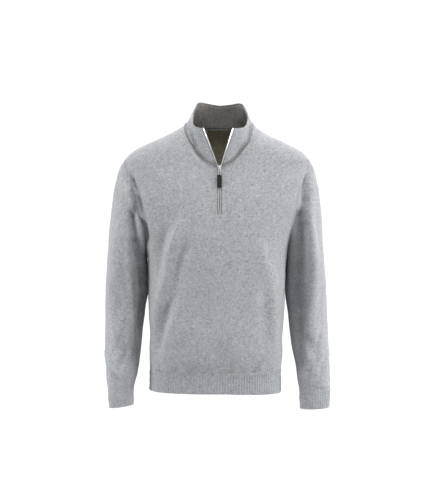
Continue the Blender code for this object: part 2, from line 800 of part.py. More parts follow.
def neck_loop(front, back):
    """Outer and inner points of the neck seam, from the viewer's left of the zip round the back."""
    neck_row = BODY_ROWS + CHEST_ROWS
    middle = BACK_COLUMNS
    loops = []
    for f, b in zip(front, back):
        left = f[neck_row:, SIDE_COLUMNS]
        right = f[neck_row:, SIDE_COLUMNS + 1]
        behind = b[-1, middle - BACK_NECK_COLUMNS : middle + BACK_NECK_COLUMNS + 1]
        left_point = (left[-1] + behind[0]) / 2
        right_point = (right[-1] + behind[-1]) / 2
        loops.append(
            np.concatenate([left[:-1], [left_point], behind[1:-1], [right_point], right[-2::-1]])
        )
    return loops


def rim_line(shares):
    """Points of the collar's rim at shares of its length."""
    knots = np.arange(len(RIM["x"]), dtype=float)
    place = np.linspace(0, knots[-1], 600)
    dense = np.stack([smooth({"k": knots, a: RIM[a]}, a, place, "k") for a in "xyz"], axis=-1)
    dense[:, 0] += NECK_SHIFT
    return np.stack([at_shares(dense[:, i], dense, shares) for i in range(3)], axis=-1)


def collar_face(seam, shares, rows):
    """Rows of points of the collar's outer face, from the neck seam to the rim."""
    rim = rim_line(shares)
    middle = np.array([NECK_SHIFT, 0.0, 0.0])
    out = (seam + rim) / 2 - middle
    out[:, 2] = 0
    swell = smooth(COLLAR_SWELL, "out", shares, "share")[:, None] * unit(out)
    v = np.asarray(rows)[:, None, None]
    return seam + (rim - seam) * v + swell * 4 * v * (1 - v)


def loop_shares(loop):
    steps = np.linalg.norm(np.diff(loop, axis=0), axis=-1)
    return np.concatenate([[0.0], np.cumsum(steps)]) / steps.sum()


def add_collar(front, back, cloth, lining):
    """The outer collar and its facing. Returns the collar's outer and inner points."""
    seam_outer, seam_inner = neck_loop(front, back)
    start, start_inner, _ = step_off(seam_outer, seam_inner, np.array([0.0, 0.0, 1.0]))
    shares = loop_shares(seam_outer)
    outer = collar_face(start, shares, np.linspace(0, 1, COLLAR_ROWS + 1))
    normals = -grid_normals(outer)
    inner = outer - WALL * normals
    inner[0] = start_inner
    wall_object("collar", outer, inner, cloth)
    rows = np.concatenate([[FACING_START], np.linspace(0, 1, COLLAR_ROWS + 1)[1:]])
    face = collar_face(start, shares, rows)
    inward = -grid_normals(face)
    near = face - (WALL + SEAM) * inward
    far = face - (WALL + SEAM + LINING) * inward
    wall_object("collar_facing", near, far, lining)
    return outer, inner


# ---------------------------------------------------------------- zip

def add_tape(name, side, front, collar, cloth):
    """A zip tape: it lies in the panel's slot and runs on along the collar's front edge."""
    column = SIDE_COLUMNS + (1 if side > 0 else 0)
    end = -1 if side > 0 else 0
    rows = slice(BODY_ROWS + CHEST_ROWS - ZIP_ROWS, BODY_ROWS + CHEST_ROWS + 1)
    edges = [
        np.concatenate([wall[rows, column], ring[1:, end]])
        for wall, ring in zip(front, collar)
    ]
    outer, inner = edges
    outer[0, 2] += SEAM
    inner[0, 2] += SEAM
    depth = unit(inner - outer)
    away = np.array([-side, 0.0, 0.0])
    near, _, across = step_off(outer, inner, away)
    width = SLOT - SEAM - TAPE_GAP
    lift = (WALL - TAPE_WALL) / 2
    face = np.stack([near + lift * depth, near + lift * depth + width * across])
    return wall_object(name, face, face + TAPE_WALL * depth, cloth)


def prism(name, outline, low, high, axis, surface):
    """An outline extruded along Y (outline in x, z) or along X (outline in y, z)."""
    if axis == "y":
        points = [(a, level, b) for level in (low, high) for a, b in outline]
    else:
        points = [(level, a, b) for level in (low, high) for a, b in outline]
    count = len(outline)
    faces = [tuple(range(count)), tuple(range(2 * count - 1, count - 1, -1))]
    faces += [(i, i + count, (i + 1) % count + count, (i + 1) % count) for i in range(count)]
    return new_object(name, points, faces, surface, smooth_shading=False)


def boolean(item, helper, operation):
    """Join a helper to a piece, or cut it out."""
    change = item.modifiers.new(helper.name, "BOOLEAN")
    change.operation = operation
    change.object = helper
    helper.parent = item
    helper.hide_render = True
    helper.display_type = "WIRE"


def rectangle(low, high):
    return [(low[0], low[1]), (high[0], low[1]), (high[0], high[1]), (low[0], high[1])]


def middle_spot(z):
    """The point of the front's middle line at a height."""
    return smooth_torso("front", np.zeros(1), np.array([float(z)]))[0]


def front_lean(high, low):
    """How far the front's middle line leans from upright between two heights."""
    top, bottom = middle_spot(high), middle_spot(low)
    return -math.atan2(top[1] - bottom[1], top[2] - bottom[2])


def lay_on(item, point, lean):
    item.location = np.asarray(point) * MM
    item.rotation_euler = (lean, 0, 0)


def add_slider(metal):
    """The slider: a plate before and behind the tapes, a post, and the bail. Returns the hinge."""
    slider = prism("zip_slider", SLIDER_PLATE, *SLIDER_FRONT, "y", metal)
    behind = prism("slider_back", SLIDER_PLATE, *SLIDER_BEHIND, "y", metal)
    post = prism("slider_post", rectangle(*SLIDER_POST), SLIDER_FRONT[0], SLIDER_BEHIND[1], "y", metal)
    arch = prism("slider_bail", SLIDER_BAIL, -BAIL_HALF, BAIL_HALF, "x", metal)
    for helper in (post, behind, arch):
        boolean(slider, helper, "UNION")
    half = SLIDER_PLATE[0][1]
    lean = front_lean(SLIDER + half, SLIDER - half) * SLIDER_LEAN
    spot = middle_spot(SLIDER)
    lay_on(slider, spot, lean)
    out, up = HINGE
    across = out * math.cos(lean) - up * math.sin(lean)
    upward = out * math.sin(lean) + up * math.cos(lean)
    return spot + np.array([0, across, upward])


def tab_outline():
    """Outline of the tab below the hinge: rounded ends and a slight waist."""
    length, half, corner = TAB_LENGTH, TAB_WIDTH / 2, TAB_CORNER
    steps = 6
    side = []
    for step in range(steps + 1):
        turn = math.pi / 2 * step / steps
        side.append((half - corner + corner * math.sin(turn), -corner + corner * math.cos(turn)))
    for step in range(1, steps):
        share = step / steps
        side.append((half - TAB_WAIST * math.sin(math.pi * share), -corner - (length - 2 * corner) * share))
    for step in range(steps + 1):
        turn = math.pi / 2 * step / steps
        side.append((half - corner + corner * math.cos(turn), corner - length - corner * math.sin(turn)))
    outline = side + [(-x, z) for x, z in reversed(side)]
    return [(x, z - TAB_DROP) for x, z in outline]


def add_pull(hinge, metal, rubber):
    """The link and the tab, which swing together about the bail."""
    half, bar, wall = LINK_WIDTH / 2, LINK_BAR, LINK_WALL / 2
    link = prism("pull_link", rectangle((-half, LINK_BOTTOM), (half, LINK_TOP)), -wall, wall, "y", metal)
    hole = rectangle((bar - half, LINK_BOTTOM + bar), (half - bar, LINK_TOP - bar))
    window = prism("link_window", hole, -LINK_WALL, LINK_WALL, "y", metal)
    boolean(link, window, "DIFFERENCE")
    tab = prism("pull_tab", tab_outline(), -TAB_WALL / 2, TAB_WALL / 2, "y", rubber)
    pocket = rectangle((-half - SEAM, LINK_BOTTOM - SEAM), (half + SEAM, LINK_WALL - TAB_DROP))
    cut = prism("tab_pocket", pocket, -wall - SEAM, wall + SEAM, "y", rubber)
    boolean(tab, cut, "DIFFERENCE")
    lean = front_lean(SLIDER, SLIDER - TAB_DROP - TAB_LENGTH)
    for item in (link, tab):
        lay_on(item, hinge, lean)


def add_stop(metal):
    """The stop at the foot of the zip."""
    stop = prism("zip_stop", rectangle(*STOP_FACE), *STOP_DEPTH, "y", metal)
    lay_on(stop, middle_spot(ZIP_BOTTOM), front_lean(ZIP_BOTTOM + STOP_SPAN, ZIP_BOTTOM - STOP_SPAN))


def build():
    for item in list(bpy.data.objects):
        bpy.data.objects.remove(item)
    marl, rib, lining, tape, metal, rubber = (material(name) for name in COLOURS)
    front = panel_walls("front", front_grid())
    back = panel_walls("back", back_grid())
    zip_row = BODY_ROWS + CHEST_ROWS - ZIP_ROWS
    wall_object("front_panel", *front, marl, skip=lambda r, c: c == SIDE_COLUMNS and r >= zip_row)
    wall_object("back_panel", *back, marl)
    add_sleeve("sleeve_left", -1, front, back, marl)
    add_sleeve("sleeve_right", 1, front, back, marl)
    add_rib("hem_rib", hem_place, rib_count(hem_place), rib)
    for name, side in (("cuff_left", -1), ("cuff_right", 1)):
        add_rib(name, cuff_place(side), rib_count(cuff_place(side)), rib)
    collar = add_collar(front, back, marl, lining)
    add_tape("zip_tape_left", -1, front, collar, tape)
    add_tape("zip_tape_right", 1, front, collar, tape)
    hinge = add_slider(metal)
    add_pull(hinge, metal, rubber)
    add_stop(metal)


build()
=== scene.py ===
"""Looks of the half-zip sweatshirt: cloth shells on the form of the solids, with their sewing and zip.

Frame: +Z up, the front faces -Y, +X is to the viewer's right, origin in the middle of the neck's base.
Tables and named sizes are in millimetres, as in the part's source.
"""

import math

import bmesh
import bpy
import numpy as np
from mathutils.kdtree import KDTree
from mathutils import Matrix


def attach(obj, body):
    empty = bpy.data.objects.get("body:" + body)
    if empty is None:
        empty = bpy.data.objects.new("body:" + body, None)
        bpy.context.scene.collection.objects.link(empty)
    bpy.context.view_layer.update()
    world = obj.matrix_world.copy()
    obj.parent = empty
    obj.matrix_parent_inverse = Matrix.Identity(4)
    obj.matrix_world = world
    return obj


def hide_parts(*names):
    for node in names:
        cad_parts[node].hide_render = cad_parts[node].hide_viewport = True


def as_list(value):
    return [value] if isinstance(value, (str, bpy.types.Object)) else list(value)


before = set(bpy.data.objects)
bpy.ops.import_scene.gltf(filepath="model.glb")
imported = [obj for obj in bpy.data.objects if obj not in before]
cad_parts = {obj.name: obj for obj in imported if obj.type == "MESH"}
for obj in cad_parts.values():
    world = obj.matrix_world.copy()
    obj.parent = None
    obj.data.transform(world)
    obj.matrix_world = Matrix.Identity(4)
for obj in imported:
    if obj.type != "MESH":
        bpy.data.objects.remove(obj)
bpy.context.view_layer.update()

MM = 0.001
SEAM = 0.3  # open line between two pieces that are sewn together

# Cloth
WALL = 2.0
LINING = 1.6
RIB_RISE = 0.8
RIB_PITCH = 6.2

# Heights
NECK_SIDE = 3.0
NECK_BACK = -3.0
NECK_FRONT = -118.0
SHOULDER_TIP = -91.0
ARMPIT = -345.0
ZIP_BOTTOM = -237.0
HEM_TOP = -641.0
HEM_BOTTOM = -697.0
SLEEVE_RING = -368.0
CUFF_TOP = -688.0
CUFF_BOTTOM = {-1: -736.0, 1: -741.0}
CUFF_TILT = {-1: 0.03, 1: -0.06}  # slope of the cuff's lower edge across the arm, beyond the arm's own
HEM_DROP = 0.035  # slope by which the hem hangs lower towards the right, from this far off the middle
HEM_DROP_FROM = 20.0

# Torso
ROUNDNESS = 2.4  # exponent of the torso's superellipse
NECK_SHIFT = 6.7  # neck and zip lie this far to the right of the body's middle
NECK_TURN = -32.0  # height on the shoulder seam below which the shoulders no longer follow that shift
ARMHOLE_FRONT = 55.0
ARMHOLE_BACK = 60.0
ARMHOLE_ROUNDNESS = 0.6
CHEST_ROW = -170.0  # height at the armhole of the row that starts at the foot of the neck

# Grid of the panels
SIDE_COLUMNS = 80
BACK_COLUMNS = 66
BACK_NECK_COLUMNS = 22
BODY_ROWS = 81
CHEST_ROWS = 48
SHOULDER_ROWS = 42
ZIP_ROWS = 24  # of the chest rows, those beside the zip
COLLAR_ROWS = 22
HEAD_ROWS = 80
ARM_ROWS = 90
HEM_CROWDING = 1.35  # rows lie closer together near the hem, where the panels are gathered
RIDGE_CROWDING = 1.35  # and near the shoulder seam, where they turn over
DENSE_POINTS = 400  # of lines that are measured along
RIM_POINTS = 600

# Zip
SLOT = 5.3  # half of the opening that the zip fills
TAPE_GAP = 0.35
TAPE_WALL = 1.0


def table(columns, rows):
    """Named columns of numbers."""
    return dict(zip(columns.split(), np.array(rows, float).T))


# Width to the seam, shift of the middle, and depths to the front and back of the seam's plane
TORSO = table("z edge middle front back seam", [
    (-697, 173, -5, 115, 113, 0), (-641, 173, -4, 117, 115, 0), (-618, 175, -3, 123, 120, 0),
    (-560, 174.5, -2, 128, 121, 0), (-470, 180, -1, 129, 117, 0), (-400, 181.5, -0.5, 131, 113, 0),
    (-345, 184, 0, 131, 112, 0), (-289, 191.5, 0, 129, 113, 1), (-240, 201, 0, 125, 115, 2),
    (-196, 211, 0, 117, 117, 3), (-150, 225, 0, 104, 115, 4), (-120, 236, 0, 95, 109, 5),
    (-91, 245, 0, 87, 101, 5), (-69, 245, 0, 81, 95, 5), (-48, 245, 0, 75, 88, 5),
    (-26, 245, 0, 68, 78, 4), (-5, 245, 0, 61, 64, 3), (3, 245, 0, 59, 60, 3),
])

# The shoulder seam, from its tip to the neck
SHOULDER = table("z edge", [(-91, 245), (-69, 224), (-48, 184), (-26, 136), (-5, 101), (3, 91)])

# The neck seam in front, from the zip to the shoulder, and behind, from the middle to the shoulder
NECKLINE = {
    "front": table("x z", [
        (SLOT, NECK_FRONT), (32, -103), (58, -76), (77, -48), (88, -21), (91, NECK_SIDE),
    ]),
    "back": table("x z", [(0, NECK_BACK), (45, -1.5), (75, 1), (91, NECK_SIDE)]),
}

# The collar's rim, from the viewer's left end round the back to the right end, from the middle of the neck
RIM = table("x y z", [
    (-45, -83, -15), (-57, -74, -12), (-68, -56, -6), (-72, -30, 8), (-69, 8, 32), (-65, 38, 54),
    (-56, 60, 69), (-30, 72, 67), (0, 75, 63), (30, 72, 65), (59, 60, 67), (70, 38, 52),
    (76, 8, 30), (75, -30, 8), (67, -56, -8), (52, -74, -13), (38, -85, -15),
])

# How far the collar swells out between its seam and its rim, along its length
COLLAR_SWELL = table("share out", [(0, 0), (0.12, 4), (0.3, -2), (0.5, 1), (0.7, -2), (0.88, 4), (1, 0)])
FACING_START = 0.07  # share of the collar's height at which its facing starts
# Soft folds of the facing behind the neck: place and width as shares of its length, and height
LINING_FOLDS = [
    (0.4, 0.011, 2.6), (0.47, 0.02, 0.8), (0.61, 0.012, 3), (0.24, 0.015, 1.5), (0.77, 0.013, 1.5),
]

# Sleeve rings: outer and inner edge, middle and half depth, and the ring's slope from inner to outer edge
SLEEVES = {
    -1: table("z out inn y depth slope", [
        (-368, 291.5, 184.4, 13, 80, 0), (-405, 294, 183.4, 16, 76, 0), (-445, 296, 184.2, 18, 71, 0),
        (-472, 297, 188, 19, 68, 0), (-520, 297, 194.5, 14, 63, 0), (-578, 296, 200, 2, 57, 0),
        (-630, 293, 205, -14, 51, -0.02), (-668, 289.5, 211.5, -25, 44, -0.06),
        (-688, 285.5, 217, -31, 38, -0.11), (-744, 281.5, 218, -37, 35, -0.17),
    ]),
    1: table("z out inn y depth slope", [
        (-368, 286, 184.2, 13, 80, 0), (-405, 289.5, 182.6, 16, 76, 0), (-445, 292, 182.6, 18, 71, 0),
        (-472, 293.5, 186, 19, 68, 0), (-520, 294.5, 191.5, 14, 63, 0), (-578, 295.5, 197, 2, 57, 0),
        (-630, 297, 207, -14, 50, 0.02), (-668, 297.5, 212, -25, 42, 0.05),
        (-688, 297, 215.5, -31, 36, 0.07), (-744, 293.5, 218, -37, 32, 0.11),
    ]),
}
SLEEVE_ROUNDNESS = 2.15
CUFF_FADE = 18.0  # folds fade out this far above the cuff
PLAIN_INSIDE = 24.0  # degrees each side of the inner edge that stay free of folds
PLAIN_FADE = 0.1
# Direction in which the sleeve leaves the armhole at the shoulder's tip and at the armpit, as outward and
# down, how far it turns forward and back between them, and how strongly it holds its direction at both ends
LEAVE_TIP = (0.67, 0.74)
LEAVE_PIT = (0.33, 0.9)
LEAVE_FORWARD = 0.3
LEAVE_PULL = 0.55
ARRIVE_PULL = 0.9
HEAD_FADE = 0.05  # share of the sleeve's head over which its folds fade towards the armhole

# Folds of the panels: from (x0, z0) to (x1, z1), how wide and how high. Below zero is a trough.
FOLDS = {
    "front": table("x0 z0 x1 z1 wide high", [
        (-88, -252, -112, -330, 13, 3.5), (-112, -330, -150, -505, 14, 4.5), (-78, -318, -94, -440, 15, -3),
        (-140, -300, -150, -400, 13, -3), (-118, -470, -158, -600, 13, -4),
        (-104, -490, -134, -585, 14, 3.5), (150, -425, 148, -585, 14, 4), (122, -400, 120, -570, 16, -3),
        (96, -300, 132, -430, 18, 2.5), (30, -545, 48, -620, 20, 2.5), (-40, -520, -60, -625, 22, 2.5),
    ]),
    "back": table("x0 z0 x1 z1 wide high", [
        (-70, -180, -20, -330, 24, 3), (84, -170, 40, -340, 24, 3.5), (-120, -330, -150, -500, 15, 4),
        (-86, -360, -112, -520, 18, -3), (126, -340, 152, -520, 15, 4), (96, -380, 118, -540, 18, -3.5),
        (-30, -470, -52, -620, 22, 3), (38, -500, 62, -625, 20, 3),
    ]),
}

# Puckers where the panels are gathered into the hem rib: place, lean to the side, reach up, width, depth
GATHERS = {
    "front": table("x lean reach wide deep", [
        (-150, -6, 46, 9, 4.5), (-104, 6, 26, 8, 3), (-66, 18, 40, 9, 4.5), (-30, 8, 24, 8, 2.5),
        (30, 3, 38, 9, 4), (62, -6, 24, 8, 2.5), (92, 22, 34, 9, 4.5), (128, 16, 26, 8, 3.5),
    ]),
    "back": table("x lean reach wide deep", [
        (-142, 8, 34, 9, 4), (-96, -8, 26, 8, 3), (-52, 10, 38, 9, 4), (-8, -4, 26, 8, 3),
        (40, 12, 34, 9, 4), (84, -6, 24, 8, 3), (132, 10, 36, 9, 4),
    ]),
}

# Folds of the sleeves: turn from the outer edge (90 in front, 270 behind) and height at both ends, width in
# degrees, and how high. The broad ones, which the solids have too, come before the deeper and finer ones.
SLEEVE_FOLDS = {
    -1: table("turn0 z0 turn1 z1 wide high", [
        (112, -190, 128, -360, 20, 6), (82, -210, 92, -360, 16, -4), (122, -360, 124, -560, 20, 7),
        (60, -420, 96, -500, 14, -4), (40, -300, 70, -400, 16, 3), (90, -560, 120, -640, 16, -4),
        (270, -420, 250, -520, 16, -5), (290, -300, 262, -440, 18, 4), (255, -560, 285, -640, 16, -4),
        (20, -600, 70, -655, 14, 4),
        (51, -166, 78, -214, 8, 7), (78, -214, 118, -273, 9, 8), (118, -273, 146, -329, 9, 7),
        (86, -226, 114, -301, 12, -15), (114, -301, 130, -360, 14, -17), (130, -360, 142, -432, 16, -15),
        (142, -432, 150, -540, 16, -13), (68, -215, 88, -291, 10, 3), (88, -291, 98, -358, 10, 3.5),
        (98, -358, 106, -425, 10, 4), (106, -425, 120, -510, 10, 3.5), (120, -510, 134, -590, 10, 3),
        (98, -455, 84, -540, 9, 2.5), (108, -590, 84, -640, 8, -3), (70, -600, 112, -668, 9, 3),
        (48, -640, 86, -672, 7, -2.5), (30, -480, 52, -570, 12, -3), (245, -230, 232, -360, 12, 3.5),
        (262, -500, 238, -590, 11, 3.5), (280, -600, 252, -668, 9, -3), (305, -380, 318, -520, 14, -2.5),
    ]),
    1: table("turn0 z0 turn1 z1 wide high", [
        (70, -200, 70, -420, 16, 8), (70, -420, 86, -560, 18, 7), (104, -220, 112, -420, 20, -5),
        (44, -430, 78, -510, 14, -4), (96, -560, 64, -650, 16, -4), (268, -410, 292, -510, 16, -5),
        (250, -300, 276, -440, 18, 4), (284, -560, 252, -640, 16, -4), (24, -590, 66, -660, 14, 4),
        (34, -128, 60, -190, 12, -14), (60, -190, 86, -245, 15, -20), (86, -245, 112, -333, 19, -21),
        (112, -333, 120, -421, 20, -20), (120, -421, 124, -490, 20, -19), (124, -490, 131, -570, 18, -17),
        (131, -570, 134, -640, 14, -11), (44, -197, 58, -244, 10, 3), (58, -244, 72, -331, 11, 3.5),
        (72, -331, 77, -418, 12, 3.5), (77, -418, 92, -485, 12, 3.5), (92, -485, 98, -560, 12, 3),
        (46, -250, 40, -340, 10, -2), (52, -520, 76, -590, 9, -3), (58, -600, 92, -660, 8, 3),
        (96, -610, 120, -668, 8, -3), (20, -440, 34, -540, 12, -2.5), (292, -240, 300, -370, 12, 3.5),
        (262, -470, 300, -570, 11, 3.5), (258, -600, 290, -668, 9, -3),
    ]),
}

# Finer creases: a line from (x0, z0) to (x1, z1), how far it bows sideways, how wide and how high
CREASES = {
    "front": table("x0 z0 x1 z1 bow wide high", [
        (-62, -64, -30, -100, 3, 7, -4), (54, -76, 32, -102, -2, 6, -1.2), (21, -212, 29, -242, 2, 4, -2.2),
        (-224, -130, -205, -176, 3, 8, -11), (-205, -176, -190, -236, 4, 9, -13),
        (-190, -236, -180, -310, 3, 9, -12), (-94, -262, -128, -400, 5, 14, 7),
        (-128, -400, -162, -525, 5, 13, 7), (-126, -272, -152, -380, 4, 12, -5.5),
        (-72, -300, -108, -440, 6, 13, -5.5), (-108, -440, -158, -610, 5, 11, -6),
        (-88, -500, -124, -606, -4, 12, 4.5), (146, -400, 150, -590, 3, 13, 4.5),
        (112, -300, 140, -400, 5, 12, 3), (64, -330, 70, -470, -6, 16, -1.6),
        (30, -470, 44, -590, 5, 14, 1.8), (-34, -430, -48, -570, -5, 15, -1.6),
        (-168, -118, -120, -150, 4, 12, 1.5), (176, -112, 130, -150, -4, 12, 1.5),
    ]),
    "back": table("x0 z0 x1 z1 bow wide high", [
        (-60, -30, -30, -70, 3, 8, -2), (66, -34, 40, -66, -3, 7, -1.8),
        (-190, -190, -140, -250, 6, 10, -3), (192, -200, 150, -270, -7, 11, -3.5),
        (-110, -290, -148, -430, 6, 13, 3.5),
        (-60, -380, -92, -560, -5, 14, -3), (20, -300, 6, -430, 5, 13, -2),
        (118, -330, 146, -470, -6, 12, 3.5), (76, -420, 100, -590, 5, 12, -3),
        (134, -500, 154, -610, -3, 11, 3), (-128, -520, -150, -612, 3, 10, -3),
        (-20, -500, -26, -600, 4, 12, 2.2),
    ]),
}

# Share of a panel's half width over which its folds and its finer creases fade towards the side
FOLD_FADE = 0.12
CREASE_FADE = 0.05
# Shares of a fold's or crease's length: how far it reaches past its ends, and over how much it fades there
FOLD_PAST = 0.25
CREASE_PAST = 0.2
END_FADE = 0.5
# Banks beside a crease: height as a share of its depth, and distance as a multiple of its width
BANK_HEIGHT = 0.3
BANK_OFF = 1.9

# Rounding of the cloth's edges and of the hard pieces': radius, steps, and the least angle that is rounded
EDGE_ROUND = 0.2
EDGE_STEPS = 2
EDGE_ANGLE = 60
HARD_EDGE_STEPS = 3
HARD_EDGE_ANGLE = 40
WELD_REACH = 0.01

# Slight unevenness: size and height on the panels and sleeves, the ribs and the collar
RIPPLES = [(75, 0.5), (30, 0.16)]
RIB_RIPPLE = (30, 0.6)
COLLAR_RIPPLE = (45, 0.6)
RIPPLE_WAVES = 10
RIPPLE_SPREAD = (0.8, 2.0)  # the shortest and the longest wave, as shares of the size
EVEN_ROWS = 6  # rows over which a sleeve's unevenness fades at its ends
EVEN_COLLAR = 0.1  # share of the collar's height over which it fades at the neck seam

# Ribs: how they swing between furrow and top, and shares of their rise and of the tube's length at its ends
RIB_POINTS = 8
RIB_ROWS = 18
RIB_MIDDLE = 0.5
RIB_SWING = 0.8
RIB_LEAST = 0.15
RIB_TOP_FADE = 0.1
RIB_END_FADE = 0.04

GIRTH_POINTS = 41
RING_POINTS = 180
ARRIVE_STEP = 4.0  # length of the oval sleeve below its first ring that gives the head's last direction
LINING_FADES = (0.3, 0.25)  # shares of the height over which the lining's folds fade, below and at the rim
TOPSTITCH_IN = 7.0
TAPE_COLUMNS = 5
FAR_AWAY = 99.0  # stands for a distance where a piece has no seams or stitches
LINE_END = 1.0  # what stays free at the end of a line of teeth or stitches

# Zip teeth: how far they lie from the tape's free edge, half their length along the zip, rise over the tape
TOOTH_PITCH = 2.0
TOOTH_FROM = -2.4
TOOTH_TO = 0.25
TOOTH_HALF = 0.62
TOOTH_TIP = 0.8  # length of a tooth's tip as a share of its root's
TOOTH_RISE = 0.9
TOOTH_FIRST = 1.5  # place of the first tooth along the tape
TOOTH_ROUND = 0.18

# Sewing
ARMHOLE_STITCHES = (1.8, 7.6)  # distances from the armhole seam, on the body
PLACKET_STITCHES = (-13.0, 10.6)  # places beside the zip, from the neck's middle
PLACKET_BOTTOM = -241.0
PLACKET_END = 4.0  # distance below the neck seam
HEM_STITCHES = 2.8  # distance above the hem rib
STITCH_START = 2.0  # distance above the armpit
# Points along each line of stitches
ARMHOLE_POINTS = 160
PLACKET_POINTS = 60
ACROSS_POINTS = 12
HEM_POINTS = 300
FIRST_STITCH = 1.0
STITCH_PITCH = 3.2
STITCH_LENGTH = 2.7
THREAD = 0.34
STITCH_SIDES = 5
STITCH_RINGS = [(0.0, -0.3, 0.5), (0.2, 0.15, 1.0), (0.5, 0.28, 1.05), (0.8, 0.15, 1.0), (1.0, -0.3, 0.5)]

# Knit and colours
WALE = 1.35
COURSE = 1.0
STITCH_SLANT = 1.6
WALE_SHARE = 0.6  # of the knit's height
COURSE_SHARE = 0.3
KNIT_HEIGHT = 0.16
FUZZ_HEIGHT = 0.25
FUZZ_SIZE = 0.7
CLOTH_ROUGHNESS = 0.92
SHEEN = 0.25
SHEEN_ROUGHNESS = 0.6
# Grooves along seams and lines of stitches: width, depth and the painted shade that darkens the cloth in
# them, and the puckers beside them
SEAM_WIDE = 1.4
SEAM_DEEP = 0.2
SEAM_SHADE = -0.05
STITCH_WIDE = 1.1
STITCH_DEEP = 0.4
STITCH_SHADE = -0.08
PUCKER_SIZE = 7.0
PUCKER_REACH = 5.0
PUCKER_HEIGHT = 0.5
# Lighter thread of the facing's topstitching, its own colour
LINING_STITCH_TONE = 1.0
# Painted shade on the zip tape beside the cloth's edge, which the tape lies under
TAPE_EDGE_SHADE = -0.85
# Lighter and darker fibres: size, detail, how far they are stretched, and share
FLECKS = [
    (1.3, 3.0, (1.0, 1.0, 0.5), 2.2),
    (3.6, 2.0, (1.0, 1.0, 1.2), 8.0),
    (8.0, 1.0, (1.0, 1.0, 1.0), 3.0),
    (60.0, 1.0, (1.0, 1.0, 1.0), 0.5),
]
MARL = (0.36, 0.37, 0.39)
RIB = (0.35, 0.36, 0.38)
INSIDE = (0.44, 0.41, 0.33)
LINING_COLOUR = (0.15, 0.14, 0.131)
TAPE = (0.42, 0.42, 0.44)
# How strong the flecks are, and the knit's relief where it isn't the marl's
MARL_FLECK = 0.16
INSIDE_FLECK = 0.14
LINING_FLECK = 0.2
TAPE_FLECK = 0.03
INSIDE_KNIT = 0.3
TAPE_KNIT = 0.6
# Metal, rubber and thread: spread of the roughness, and the size of a cloud as a multiple of the grain's
ROUGH_SPREAD = 0.16
CLOUD_SIZE = 6
# Name, colour, roughness, metallic, size of the grain, its depth, spread of the tone and gloss
FINISHES = [
    ("thread", (0.5, 0.51, 0.53), 0.8, 0.0, 0.3, 0.05, 0.2, 0.3),
    ("zip_metal", (0.78, 0.78, 0.79), 0.32, 1.0, 0.4, 0.01, 0.15, 0.5),
    ("pull_rubber", (0.013, 0.0145, 0.012), 0.75, 0.0, 0.25, 0.03, 0.25, 0.2),
]
FLOOR_FINISH = ("floor_paper", (0.92, 0.92, 0.92), 0.9, 0.0, 3.0, 0.05, 0.01, 0.5)

# Studio, in millimetres for the camera and in metres and watts for the lights
CAMERA_X = -4.8
CAMERA_Z = -328.6
CAMERA_DISTANCE = 2950.0
FRAME_HEIGHT = 1325.0
BACKDROP = 1.05
# Light of the room from the front and from behind, and of its bright ceiling, with the slopes between them
ROOM_FRONT = 0.08
ROOM_BEHIND = 0.8
ROOM_TURN = (-0.15, 0.3)
CEILING = 2.4
CEILING_EDGE = (0.68, 0.95)
ROOM_BELOW = 0.4
BELOW_EDGE = (0.25, 0.8)
LIGHTS = [
    ("right", (2.36, -1.1, -0.45), 1.1, 60),
    ("left", (-2.36, -1.1, -0.6), 1.1, 46),
    ("top", (0.2, -1.0, 2.1), 1.4, 28),
]
FLOOR_SIZE = 60.0
FLOOR_Z = -1.1

# Hard nodes: body, finish, and how far their edges are rounded
HARD_NODES = [
    ("zip_slider", "garment", "metal", 0.35),
    ("zip_stop", "garment", "metal", 0.3),
    ("pull_link", "pull", "metal", 0.25),
    ("pull_tab", "pull", "rubber", 0.7),
]

# Flat cuts: width and length in metres, area in square metres, how held, and what each is sewn to
CUTS = {
    "front_panel": (0.56, 0.66, 0.30, "hung", ["back_panel"]),
    "back_panel": (0.54, 0.66, 0.30, "hung", ["front_panel"]),
    "sleeve_left": (0.44, 0.60, 0.2, "hung", ["front_panel", "back_panel"]),
    "sleeve_right": (0.44, 0.60, 0.2, "hung", ["front_panel", "back_panel"]),
    "hem_rib": (0.98, 0.056, 0.054, "stretched", ["front_panel", "back_panel"]),
    "cuff_left": (0.22, 0.056, 0.012, "stretched", ["sleeve_left"]),
    "cuff_right": (0.22, 0.056, 0.012, "stretched", ["sleeve_right"]),
    "collar": (0.46, 0.08, 0.029, "folded", ["front_panel", "back_panel"]),
    "collar_facing": (0.45, 0.08, 0.028, "folded", ["collar"]),
    "zip_tape_left": (0.01, 0.24, 0.0013, "hung", ["front_panel", "collar"]),
    "zip_tape_right": (0.01, 0.24, 0.0013, "hung", ["front_panel", "collar"]),
}


def ease(t):
    t = np.clip(t, 0.0, 1.0)
    return t * t * (3 - 2 * t)


def unit(vectors):
    return vectors / np.maximum(np.linalg.norm(vectors, axis=-1, keepdims=True), 1e-12)


def smooth(source, column, at, key="z"):
    """A cubic curve through a table's column, read at a value of its key column."""
    xs, ys = source[key], source[column]
    order = np.argsort(xs)
    xs, ys = xs[order], ys[order]
    rates = np.gradient(ys, xs)
    at = np.clip(at, xs[0], xs[-1])
    i = np.clip(np.searchsorted(xs, at) - 1, 0, len(xs) - 2)
    span = xs[i + 1] - xs[i]
    t = (at - xs[i]) / span
    lead = t * (1 - t) ** 2
    trail = t * t * (t - 1)
    return ys[i] + (ys[i + 1] - ys[i]) * ease(t) + span * (lead * rates[i] + trail * rates[i + 1])


def through(source, columns, count):
    """Points of smooth curves through the columns of a table, evenly spaced between its rows."""
    rows = np.arange(len(source[columns[0]]), dtype=float)
    places = np.linspace(0, rows[-1], count)
    return [smooth({"row": rows, column: source[column]}, column, places, "row") for column in columns]


def lengths(line):
    """Length of the way along a line up to each of its points."""
    return np.concatenate([[0.0], np.cumsum(np.linalg.norm(np.diff(line, axis=0), axis=-1))])


def read_along(way, values, places):
    """Vectors read at places along a line."""
    return np.stack([np.interp(places, way, values[:, i]) for i in range(3)], axis=-1)


